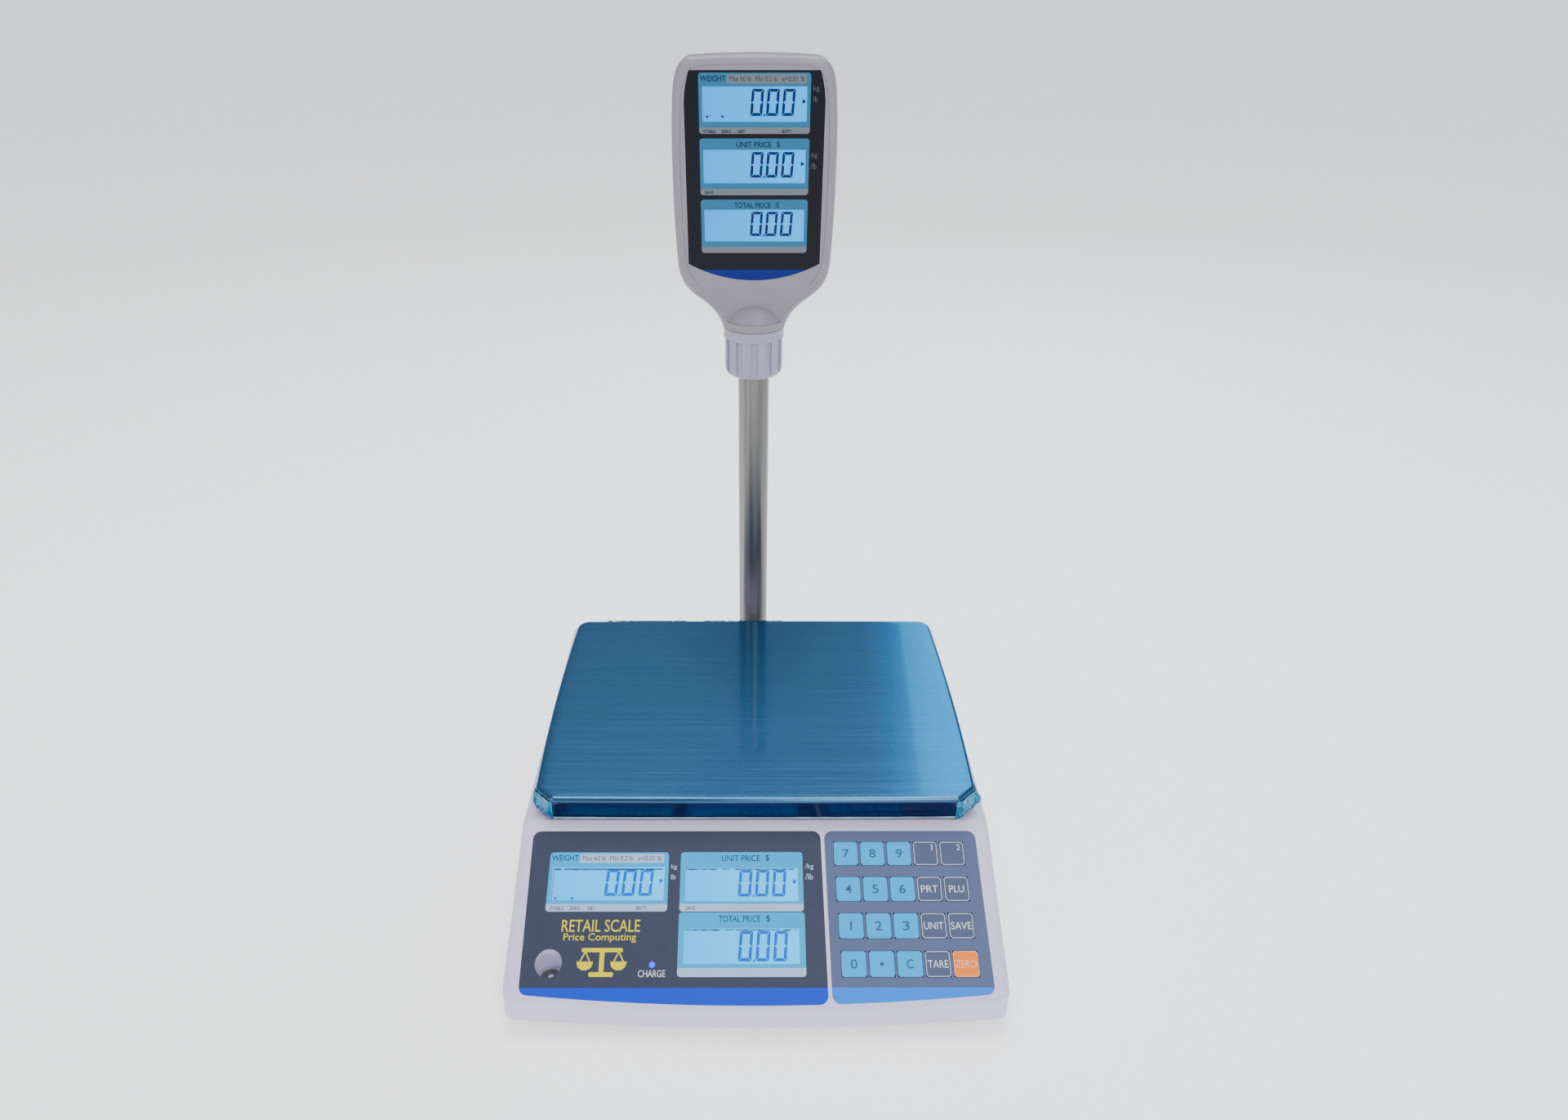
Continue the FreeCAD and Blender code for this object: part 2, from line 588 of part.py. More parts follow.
def support_bolts():
    """Two bolts down through the column into the cell's free end."""
    top = "arm_low_z + arm_t"
    low = "cell_low_z + cell_high / 2 + bolt_end_gap"
    parts = []
    for i, x in enumerate(free_bolts()):
        parts.append(rod("support_bolt%d" % i, x, "cell_y", low, "cell_bolt_rad",
                         "%s - (%s)" % (top, low)))
        parts.append(rod("support_bolt_head%d" % i, x, "cell_y", top, "bolt_head_rad",
                         "bolt_head_t"))
    return node(fused("support_bolt_group", parts), "support_bolts")


def pan_bumpers():
    """Four rubber pads that the tray rests on."""
    return node(fused("bumper_group", arm_tools("bumper", "bumper_rad", "arm_low_z + arm_t",
                                                "pan_top_z - pan_t - arm_low_z - arm_t")),
                "pan_bumpers")


def pan_form(name, grow):
    """The tray as a full block, grown by grow all round: its sides are bowed, its front corners
    faceted and its back corners round."""
    side = size("pan_half_w") - size("pan_bow") + grow
    depth = size("pan_depth")
    bow = size("pan_bow")
    sketch = draw(new_sketch(name + "_plan"), [
        (-side, -grow, (-side - bow, depth / 2)),
        (side, -grow, (0, -grow - bow / 3)),
        (side, depth + grow, (side + bow, depth / 2)),
        (-side, depth + grow, (0, depth + grow + bow / 3)),
    ])
    block = extruded(name + "_block", sketch, "pan_skirt + film_t + pan_t")
    bind(block, z="pan_top_z - pan_skirt - film_t - pan_t + (%g)" % grow)

    def in_front(edge):
        return is_upright(edge) and edge.BoundBox.YMax < depth / 2

    def behind(edge):
        return is_upright(edge) and edge.BoundBox.YMin > depth / 2

    facet = size("pan_facet") + grow * (2 - math.sqrt(2))
    doc.recompute()
    faceted = doc.addObject("Part::Chamfer", name + "_facets")
    faceted.Base = block
    faceted.Edges = [(n, facet, facet) for n in edge_numbers(block.Shape, in_front)]
    fronts = rounded(name + "_fronts", faceted, size("pan_facet_rad") + grow, in_front)
    corners = rounded(name + "_corners", fronts, size("pan_corner_rad") + grow, behind)

    def on_top(edge):
        return edge.BoundBox.ZMin > size("pan_top_z") - 4

    return rounded(name + "_top", corners, size("pan_edge_rad") + grow, on_top)


def weighing_pan():
    """The folded steel tray, and the thin film that still covers it."""
    trim = box("pan_trim", "-2 * pan_half_w", "-pan_depth", "0", "4 * pan_half_w",
               "3 * pan_depth", "pan_top_z - pan_skirt")
    tray = pan_form("tray", 0.0)
    hollow = pan_form("tray_hollow", -size("pan_t"))
    skin = pan_form("skin", size("film_t"))
    node(cut("tray_solid", tray, [hollow, trim]), "weighing_pan")
    node(cut("film_solid", skin, [tray, trim]), "pan_film")


# ---- Electrics -------------------------------------------------------------------------------


def lcd_modules():
    """Three displays: a glass with its lamp block, set in the housing's windows."""
    for name, (x, y) in WINDOWS.items():
        module = panel_window("lcd_%s_block" % name, x, y, "glass_w", "glass_high",
                              "0", "glass_t")
        body = common("lcd_%s_solid" % name, [module])
        node(body, "lcd_" + name, "panel")
        bind(module, z="-glass_drop - glass_t")


def display_overlay():
    plate = overlay_plate("show_plate", "show_left", "show_right", "-over_t", "over_t")
    tools = [panel_window("lit_" + name, x, y, "lit_w", "lit_high", "-2 * over_t", "4 * over_t")
             for name, (x, y) in WINDOWS.items()]
    tools.append(rod("overlay_lamp", "led_x", "led_y", "-2 * over_t", "led_rad + hole_slack",
                     "4 * over_t"))
    tools.append(rod("overlay_level", "level_x", "level_s", "-2 * over_t", "level_rad",
                     "4 * over_t"))
    return node(cut("show_overlay", plate, tools), "display_overlay", "panel")


def key_place(column, row):
    """A key's middle on the panel: the columns lean a little to the right going down."""
    x = "key_x + %d * key_pitch_x + %d * key_drift" % (column, row)
    return x, "key_y - %d * key_pitch_y" % row


KEY_ROWS = [
    ["seven", "eight", "nine", "memory_one", "memory_two"],
    ["four", "five", "six", "print", "lookup"],
    ["one", "two", "three", "unit", "save"],
    ["zero", "point", "clear", "tare", "zero_set"],
]
KEYS = {name: (column, row) for row, names in enumerate(KEY_ROWS)
        for column, name in enumerate(names)}


def keypad_membrane():
    """The membrane with a shallow well for each key."""
    plate = overlay_plate("pad_plate", "pad_left", "pad_right", "-membrane_t", "membrane_t")
    wells = [panel_window("key_well_" + name, *key_place(*place), "key_w + 2 * key_gap",
                          "key_high + 2 * key_gap", "-key_well", "2 * key_well")
             for name, place in KEYS.items()]
    return node(cut("pad_membrane", plate, wells), "keypad_membrane", "panel")


def keys():
    """Each key is a small plate that dips into its well."""
    for name, place in KEYS.items():
        body = new_body("key_body_" + name)
        x, y = key_place(*place)
        outline = body_sketch(body, "key_outline_" + name)
        rectangle(lifted(outline, "key_proud - key_t"), "%s - key_w / 2" % x,
                  "%s - key_high / 2" % y, "%s + key_w / 2" % x, "%s + key_high / 2" % y)
        plate = pad(body, outline, "key_t")
        soften(body, plate, "key_rad", is_sharp_corner)
        node(body, "key_" + name, "panel")


def charge_led():
    """The charge lamp: a domed lens on a flange behind the overlay."""
    flange = rod("led_flange", "led_x", "led_y", "-over_t - led_len", "led_flange_rad",
                 "led_len")
    lens = rod("led_lens", "led_x", "led_y", "-over_t", "led_rad", "over_t")
    return node(fused("led_solid", [flange, lens]), "charge_led", "panel")


def bubble_level():
    """The round spirit level at the bottom of its well."""
    y = "level_s * cos(panel_slope * 1deg) + panel_y"
    vial = rod("vial", "level_x", y, "level_vial_low_z", "level_rad - hole_slack",
               "level_vial_high")
    middle = size("level_vial_low_z") + size("level_vial_high") / 2

    def on_top(edge):
        return edge.BoundBox.ZMin > middle and edge.BoundBox.ZLength < 1

    return node(rounded("vial_solid", vial, size("level_vial_rad"), on_top), "bubble_level")


CHIP_PLACES = ("-60", "-20", "14")


def main_board():
    """The circuit board that the displays are soldered to."""
    sketch = rectangle(new_sketch("board_outline"), "board_left", "board_low", "board_right",
                       "board_top")
    board = bind(extruded("board", sketch, "board_t"), z="-glass_drop - glass_t - board_t")
    chips = [box("chip%d" % i, x, "chip_s", "-glass_drop - glass_t - board_t - chip_t",
                 "chip_w", "chip_d", "chip_t + board_t / 2") for i, x in enumerate(CHIP_PLACES)]
    room = rod("level_room", "level_x", "board_low", "-4 * glass_t", "3 * level_well_rad",
               "6 * glass_t")
    return node(cut("main_board_solid", fused("board_parts", [board] + chips), [room]),
                "main_board", "panel")


def battery():
    """A sealed lead-acid block standing on the bottom cover, with two tabs."""
    low = "base_low_z + floor_t"
    block = box("battery_block", "battery_x - battery_w / 2", "battery_y - battery_len / 2", low,
                "battery_w", "battery_len", "battery_high")
    tabs = [box("battery_tab%d" % i, x, "battery_y - battery_len / 2 + terminal_in",
                "battery_high + " + low, "terminal_t", "terminal_w", "terminal_high")
            for i, x in enumerate(("battery_x - terminal_x", "battery_x + terminal_x"))]
    return node(fused("battery_solid", [block] + tabs), "battery")


def battery_cover():
    """The cover that slides forwards off the battery opening, with grip ribs."""
    low = "base_low_z - hatch_gap - hatch_t"
    plate = box("hatch_plate", "battery_x - hatch_cover_w / 2", "battery_y - hatch_cover_len / 2",
                low, "hatch_cover_w", "hatch_cover_len", "hatch_t")
    ribs = [box("grip%d" % i, "battery_x - grip_w / 2",
                "battery_y + hatch_cover_len / 2 - grip_in - %d * grip_pitch" % i,
                low + " - grip_proud", "grip_w", "grip_d", "grip_proud + hatch_t / 2")
            for i in range(int(size("grip_count")))]
    return node(fused("hatch_solid", [plate] + ribs), "battery_cover")


def power_switch():
    """The rocker's housing in the rear wall."""
    deep = box("switch_block", "switch_x - switch_w / 2", "base_rear_y - switch_deep",
               "switch_z - switch_high / 2", "switch_w", "switch_deep", "switch_high")
    bezel = box("switch_bezel", "switch_x - bezel_w / 2", "base_rear_y",
                "switch_z - bezel_high / 2", "bezel_w", "bezel_t", "bezel_high")
    hollow = box("switch_hollow", "switch_x - rocker_w / 2 - key_gap",
                 "base_rear_y - 2 * rocker_deep", "switch_z - rocker_high / 2 - 3 * key_gap",
                 "rocker_w + 2 * key_gap", "4 * rocker_deep", "rocker_high + 6 * key_gap")
    return node(cut("switch_solid", fused("switch_parts", [deep, bezel]), [hollow]),
                "power_switch")


def power_rocker():
    """The rocker: a shallow V that tips about a cross pin, drawn tipped to its off side."""
    half = size("rocker_high") / 2
    deep, bevel = size("rocker_deep"), size("rocker_bevel")
    lean = math.radians(size("rocker_tilt"))
    rise = half * math.tan(lean)
    points = [(-half, rise), (0, 0), (half, rise), (half - bevel, -deep + bevel), (0, -deep),
              (-half + bevel, -deep + bevel)]
    tilt = FreeCAD.Rotation(Vector(1, 0, 0), -size("rocker_tilt"))
    sketch = new_sketch("rocker_profile", SIDEWAYS)
    draw(sketch, points_turned(points))
    block = extruded("rocker_block", sketch, "rocker_w", both=True)
    block.Placement = FreeCAD.Placement(Vector(), tilt)
    bind(block, x="switch_x", y="base_rear_y", z="switch_z")
    return node(common("rocker_solid", [block]), "power_rocker")


def points_turned(points):
    """The outline with its first coordinate upright, since the rocker stands on edge."""
    return [(y, x) for x, y in reversed(points)]


def power_jack():
    """The charger socket: a flanged barrel with its centre pin."""
    flange = rod_back("jack_flange", "jack_x", "base_rear_y", "jack_z", "jack_flange_rad",
                      "bezel_t")
    barrel = rod_back("jack_barrel", "jack_x", "base_rear_y - jack_deep", "jack_z",
                      "jack_body_rad", "jack_deep")
    bore = rod_back("jack_bore", "jack_x", "base_rear_y - jack_deep + jack_back_t", "jack_z",
                    "jack_bore_rad", "2 * jack_deep")
    pin = rod_back("jack_pin", "jack_x", "base_rear_y - jack_deep + jack_back_t / 2", "jack_z",
                   "jack_pin_rad", "jack_deep - jack_back_t / 2")
    shell = cut("jack_shell", fused("jack_outside", [flange, barrel]), [bore])
    return node(fused("jack_solid", [shell, pin]), "power_jack")


# ---- Pole ------------------------------------------------------------------------------------


def bracket_rods(name, radius, start, length):
    """Four rods back along +Y at the bracket's screw places."""
    places = [(x, z) for x in ("-bracket_screw_x", "bracket_screw_x")
              for z in ("bracket_screw_low_z", "bracket_screw_top_z")]
    return [rod_back("%s%d" % (name, i), x, start, z, radius, length)
            for i, (x, z) in enumerate(places)]


def pole_bracket():
    """The plate, web and socket that carry the pole behind the housing."""
    plate = box("bracket_plate", "-bracket_w / 2", "base_rear_y", "socket_low_z", "bracket_w",
                "bracket_t", "rear_slope_z - socket_low_z - 2")
    web = box("bracket_web", "-web_w / 2", "base_rear_y", "socket_low_z", "web_w",
              "pole_y - base_rear_y", "socket_top_z - socket_low_z")
    socket = rod("socket", "0", "pole_y", "socket_low_z", "socket_rad",
                 "socket_top_z - socket_low_z")
    tools = [rod("socket_bore", "0", "pole_y", "pole_low_z", "pole_rad", "roof_z")]
    tools += bracket_rods("bracket_hole", "bracket_screw_rad", "base_rear_y - 1",
                          "bracket_t + 2")
    tools += [rod_back("clamp_hole%d" % i, "0", "pole_y", z, "bracket_screw_rad",
                       "2 * socket_rad") for i, z in enumerate(("clamp_low_z", "clamp_top_z"))]
    return node(cut("bracket_solid", fused("bracket_parts", [plate, web, socket]), tools),
                "pole_bracket")


def bracket_screws():
    """Four screws into the housing's rear wall and two that clamp the pole."""
    parts = bracket_rods("bracket_screw", "bracket_screw_rad",
                         "base_rear_y + bracket_t - bracket_screw_len", "bracket_screw_len")
    parts += bracket_rods("bracket_head", "bracket_screw_head_rad", "base_rear_y + bracket_t",
                          "screw_head_t")
    for i, z in enumerate(("clamp_low_z", "clamp_top_z")):
        parts.append(rod_back("clamp_screw%d" % i, "0", "pole_y + pole_rad + 0.1", z,
                              "bracket_screw_rad", "socket_rad - pole_rad"))
        parts.append(rod_back("clamp_head%d" % i, "0", "pole_y + socket_rad", z,
                              "bracket_screw_head_rad", "screw_head_t"))
    return node(fused("bracket_screw_group", parts), "bracket_screws")


def pole():
    """The stainless tube."""
    tube = rod("pole_tube", "0", "pole_y", "pole_low_z", "pole_rad", "pole_top_z - pole_low_z")
    bore = rod("pole_bore", "0", "pole_y", "pole_low_z - 1", "pole_rad - pole_wall",
               "pole_top_z - pole_low_z + 2")
    return node(cut("pole_solid", tube, [bore]), "pole")


def pole_cap():
    """The plug that keeps the head from lifting off the pole, with its cable hole."""
    flange = rod("cap_flange", "0", "pole_y", "pole_top_z", "cap_flange_rad", "cap_t")
    plug = rod("cap_plug", "0", "pole_y", "pole_top_z - cap_plug_len", "pole_rad - pole_wall",
               "cap_plug_len")
    hole = rod("cap_hole", "0", "pole_y", "pole_top_z - 2 * cap_plug_len", "duct_rad", "roof_z")
    return node(cut("cap_solid", fused("cap_parts", [flange, plug]), [hole]), "pole_cap")


def neck_sleeve():
    """The bearing sleeve in the head's neck, which turns on the pole."""
    low = "collar_step_z + hatch_gap"
    tube = rod("sleeve_tube", "0", "pole_y", low, "sleeve_rad",
               "pole_top_z - hatch_gap - (%s)" % low)
    bore = rod("sleeve_bore", "0", "pole_y", "collar_low_z", "pole_rad + sleeve_slack", "roof_z")
    return node(cut("sleeve_solid", tube, [bore]), "neck_sleeve")


def lock_collar():
    """The fluted nut under the head: flange on top, flutes round it and a rounded foot."""
    body = new_body("collar")
    radius, foot = size("collar_rad"), size("collar_foot_rad")
    low, top = size("collar_low_z"), size("collar_top_z")
    step, flange_z = size("collar_step_z"), size("collar_flange_z")
    flange = size("collar_flange_rad")
    hub = size("pole_rad") + size("sleeve_slack")
    thread = size("sleeve_rad") + size("sleeve_slack")
    bulge = 0.3 * foot + 0.7 * radius
    section = body_sketch(body, "collar_section", "XZ_Plane")
    draw(section, [(hub, low), (foot, low), (radius, step, (bulge, low + 0.3 * (step - low))),
                   (radius, flange_z), (flange, flange_z), (flange, top), (thread, top),
                   (thread, step), (hub, step)])
    turned = body.newObject("PartDesign::Revolution", "collar_turned")
    turned.Profile = section
    turned.ReferenceAxis = (section, ["V_Axis"])
    turned.Angle = 360
    flute = body_sketch(body, "flute_outline")
    rectangle(lifted(flute, "collar_low_z"), "collar_rad - flute_deep", "-flute_w / 2",
              "2 * collar_rad", "flute_w / 2")
    flute_cut = pocket(body, flute, "collar_flange_z - collar_low_z", backwards=True)
    doc.recompute()
    ring = body.newObject("PartDesign::PolarPattern", "flutes")
    ring.Originals = [flute_cut]
    ring.Axis = (section, ["V_Axis"])
    ring.Angle = 360
    bind(ring, Occurrences="flute_count")
    body.Tip = ring
    collar = common("collar_solid", [body])
    bind(body, y="pole_y")
    return node(collar, "lock_collar")


# ---- Display head ----------------------------------------------------------------------------


HEAD_SIDE = [
    (27.0, 376.0), (31.6, 388.0), (39.2, 397.5), (49.0, 405.5), (57.4, 414.0), (62.4, 424.0),
    (64.6, 440.0), (66.0, 474.0), (66.3, 508.0), (65.9, 540.0), (64.6, 563.0), (62.4, 577.0),
    (58.0, 586.0), (50.0, 590.4),
]


def head_outline(sketch, inset):
    """The head seen from the front: a broad shield drawn in to a neck by one curve each side."""
    middle_z = 500.0
    right = [(x - inset, z - math.copysign(inset, z - middle_z)) for x, z in HEAD_SIDE]
    left = [(-x, z) for x, z in reversed(right)]
    top = size("head_top_z") - inset
    return draw(sketch, [right[0], right[-1] + (right[1:-1],), left[0] + ((0.0, top),),
                         left[-1] + (left[1:-1],)])


def head_block(name, front, back, inset=0.0):
    """A slab of the head's outline between two depths, drawn upright."""
    sketch = head_outline(new_sketch(name + "_outline", STANDING), inset)
    return bind(extruded(name, sketch, "(%s) - (%s)" % (back, front)), y=back)


def upright_window(name, z, w, high, front, depth):
    """A rectangular tool on the head's face, centred across it."""
    return box(name, "-(%s) / 2" % w, front, "(%s) - (%s) / 2" % (z, high), w, depth, high)


def face_outline(sketch):
    """The dark panel: tapered top corners, straight sides and a round foot."""
    return draw(sketch, [
        (-51.0, 581.0), (-55.4, 552.0, (-54.2, 569.0)), (-55.0, 434.0),
        (55.0, 434.0, (0.0, 420.2)), (55.4, 552.0), (51.0, 581.0, (54.2, 569.0)),
    ])


def neck_form():
    """The round neck on the pole's axis: a plain band with half a ball coming out of it."""
    band = rod("neck_band_block", "0", "pole_y", "head_low_z", "neck_rad", "neck_band")
    dome = primitive("Sphere", "neck_dome_block", y="pole_y", z="head_low_z", Radius="neck_rad")
    dome.Angle1 = 0
    return fused("neck", [band, dome])


HEAD_WINDOWS = {"weight": "head_weight_z", "unit_price": "head_unit_z",
                "total_price": "head_total_z"}
HEAD_SCREWS = [(x, z) for x in ("-head_screw_x", "head_screw_x")
               for z in ("head_screw_low_z", "head_screw_top_z")]


def chin_tool(name):
    """What is cut off the head's face below chin_top_z, so that its chin leans back."""
    face, top, low = size("head_face_y"), size("chin_top_z"), size("head_low_z") - 1
    back = face + (top - low) * math.tan(math.radians(size("chin_tilt")))
    sketch = draw(new_sketch(name + "_profile", SIDEWAYS), [
        (face - 1, top), (face - 1, low), (back, low), (face, top)])
    return extruded(name, sketch, "2 * pan_half_w", both=True)


def head_form(name):
    """The whole head as one block with rounded front and back edges, neck included."""
    slab = head_block(name + "_slab", "head_face_y", "head_back_y")
    leaning = cut(name + "_leaning", slab, [chin_tool(name + "_chin")])

    def on_rim(edge):
        extent = edge.BoundBox
        level = extent.ZLength < 1 and extent.ZMax < size("chin_top_z") + 1
        split = size("head_split_y")
        return not level and (extent.YMax < split or extent.YMin > split)

    soft = rounded(name + "_soft", leaning, size("head_edge_rad"), on_rim)
    inner = head_outline(new_sketch(name + "_rim_line", STANDING), size("rim_w"))
    tray = bind(extruded(name + "_face_tray", inner, "2 * rim_drop"), y="head_face_y + rim_drop")
    return fused(name, [cut(name + "_faced", soft, [tray]), neck_form()])


def head_cavity(name):
    """The hollow inside the head, above the neck."""
    hollow = head_block(name, "head_face_y + head_wall", "head_back_y - head_wall",
                        size("head_wall") + 0.6)
    room = box(name + "_room", "-pan_half_w", "0", "head_cavity_low_z", "2 * pan_half_w",
               "2 * pole_y", "head_top_z")
    return common(name + "_above_neck", [hollow, room])


def head_shells():
    """The front and rear shells, split at the head's middle plane."""
    whole = head_form("head")
    bore = rod("neck_bore", "0", "pole_y", "head_low_z - 1", "sleeve_rad",
               "bore_top_z - head_low_z + 1")
    duct = rod("neck_duct", "0", "pole_y", "head_low_z", "duct_rad",
               "head_cavity_low_z - head_low_z + 1")
    hollow = cut("head_hollow", whole, [head_cavity("cavity"), bore, duct])
    front_half = box("front_half", "-pan_half_w", "0", "head_low_z - 1", "2 * pan_half_w",
                     "head_split_y", "head_top_z")
    posts = [rod_back("head_post%d" % i, x, "head_face_y + head_wall / 2", z, "head_post_rad",
                      "head_back_y - head_face_y - 1.5 * head_wall")
             for i, (x, z) in enumerate(HEAD_SCREWS)]
    front = fused("front_parts", [common("front_shell", [hollow, front_half])] + posts)
    tools = [upright_window("head_window_" + name, z, "head_glass_w + 2 * glass_slack",
                            "head_glass_high + 2 * glass_slack", "head_face_y - 1",
                            "2 * head_wall") for name, z in HEAD_WINDOWS.items()]
    recess = face_outline(new_sketch("face_recess", STANDING))
    tools.append(bind(extruded("face_recess_tool", recess, "2 * head_over_drop"),
                      y="head_face_y + head_over_drop"))
    tools += [rod_back("head_pilot%d" % i, x, "head_split_y - 6", z, "screw_rad", "roof_z")
              for i, (x, z) in enumerate(HEAD_SCREWS)]
    node(cut("head_front_solid", front, tools), "head_front")
    rear = cut("rear_shell", hollow, [front_half])
    holes = [rod_back("rear_hole%d" % i, x, "head_split_y", z, "screw_rad + hole_slack",
                      "roof_z") for i, (x, z) in enumerate(HEAD_SCREWS)]
    node(cut("head_rear_solid", rear, holes), "head_rear")


def head_overlay():
    """The dark overlay with three clear windows."""
    outline = face_outline(new_sketch("face_outline", STANDING))
    plate = bind(extruded("face_plate", outline, "over_t"),
                 y="head_face_y + head_over_drop")
    tools = [upright_window("face_lit_" + name, z, "head_lit_w", "head_lit_high",
                            "head_face_y - 1", "2 * head_wall")
             for name, z in HEAD_WINDOWS.items()]
    return node(cut("face_solid", plate, tools), "head_overlay")


def head_lcds():
    """The customer's three displays."""
    for name, z in HEAD_WINDOWS.items():
        module = upright_window("head_lcd_%s_block" % name, z, "head_glass_w",
                                "head_glass_high",
                                "head_face_y + head_over_drop + head_glass_gap", "glass_t")
        node(common("head_lcd_%s_solid" % name, [module]), "head_lcd_" + name)


def head_screws():
    """Four screws from behind into the front shell's posts."""
    parts = []
    for i, (x, z) in enumerate(HEAD_SCREWS):
        parts.append(rod_back("head_screw%d" % i, x, "head_split_y + 2", z, "screw_rad",
                              "head_back_y - head_split_y - 2"))
        parts.append(rod_back("head_screw_top%d" % i, x, "head_back_y", z, "screw_head_rad",
                              "screw_head_t / 2"))
    return node(fused("head_screw_group", parts), "head_screws")


# ---- Build and write -------------------------------------------------------------------------

top_cover()
bottom_cover()
housing_screws()
levelling_feet()
load_cell()
load_cell_bolts()
pan_support()
support_bolts()
pan_bumpers()
weighing_pan()
lcd_modules()
display_overlay()
keypad_membrane()
keys()
charge_led()
bubble_level()
main_board()
battery()
battery_cover()
power_switch()
power_rocker()
power_jack()
pole_bracket()
bracket_screws()
pole()
pole_cap()
neck_sleeve()
lock_collar()
head_shells()
head_overlay()
head_lcds()
head_screws()
doc.recompute()

failed = [thing.Label for thing in doc.Objects
          if "Invalid" in thing.State or "Error" in thing.State]
failed += [thing.Label for thing in nodes if thing.Shape.isNull() or not thing.Shape.isValid()]
if failed:
    raise RuntimeError("these parts failed to build: %s" % ", ".join(failed))

os.makedirs("parts", exist_ok=True)
for thing in nodes:
    thing.Shape.exportStep("parts/%s.step" % thing.Label)
print("%d sub-parts written" % len(nodes))
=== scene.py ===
import math
import bmesh
import bpy
from mathutils import Matrix, Vector, noise


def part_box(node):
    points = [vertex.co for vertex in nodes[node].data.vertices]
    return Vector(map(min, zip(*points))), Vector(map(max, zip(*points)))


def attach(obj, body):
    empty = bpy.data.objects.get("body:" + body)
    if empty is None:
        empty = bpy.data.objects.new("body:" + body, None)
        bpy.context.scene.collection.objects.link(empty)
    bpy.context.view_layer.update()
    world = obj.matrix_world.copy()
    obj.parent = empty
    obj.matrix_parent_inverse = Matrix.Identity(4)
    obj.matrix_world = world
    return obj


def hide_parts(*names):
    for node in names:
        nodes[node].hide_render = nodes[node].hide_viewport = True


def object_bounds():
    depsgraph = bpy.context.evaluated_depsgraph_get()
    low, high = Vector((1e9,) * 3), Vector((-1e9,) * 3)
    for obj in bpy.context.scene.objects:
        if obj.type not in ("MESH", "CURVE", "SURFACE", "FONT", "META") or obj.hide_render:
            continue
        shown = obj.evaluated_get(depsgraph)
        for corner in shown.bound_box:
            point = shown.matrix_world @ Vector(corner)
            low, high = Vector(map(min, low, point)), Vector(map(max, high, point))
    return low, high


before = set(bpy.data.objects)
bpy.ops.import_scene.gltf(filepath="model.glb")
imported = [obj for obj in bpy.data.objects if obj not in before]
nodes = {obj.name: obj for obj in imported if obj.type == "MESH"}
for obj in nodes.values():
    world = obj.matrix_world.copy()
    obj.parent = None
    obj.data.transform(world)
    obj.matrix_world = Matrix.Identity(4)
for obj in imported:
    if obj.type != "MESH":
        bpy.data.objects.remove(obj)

# A counter-top price scale. The CAD parts get materials here and keep their shapes, except the
# tray's blue film, which a finer sheet replaces. The printing, the display digits and small
# details are added as pieces of their own. Printed pieces are drawn in millimetres, flat on the
# surface they lie on.

cad_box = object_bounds()
MM = 0.001

# ---- Surfaces that carry printing ---------------------------------------------------------------

SLOPE = math.radians(29.158)
OVER_T = 0.0005
# the sloping panel's origin is this far up the slope from the overlay's top edge
ORIGIN_UP = 0.001
overlay_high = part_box("display_overlay")[1]
PANEL = (Matrix.Translation((0, overlay_high.y + ORIGIN_UP * math.cos(SLOPE)
                             - OVER_T * math.sin(SLOPE),
                             overlay_high.z + ORIGIN_UP * math.sin(SLOPE)))
         @ Matrix.Rotation(SLOPE, 4, "X") @ Matrix.Scale(MM, 4))
FACE = (Matrix.Translation((0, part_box("head_overlay")[0].y, 0))
        @ Matrix.Rotation(math.radians(90), 4, "X") @ Matrix.Scale(MM, 4))


def on(surface, node):
    """The middle of a CAD node, in the surface's own millimetres."""
    low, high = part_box(node)
    return surface.inverted() @ ((low + high) / 2)


# ---- Materials ----------------------------------------------------------------------------------

def link(tree, a, b):
    tree.links.new(a, b)


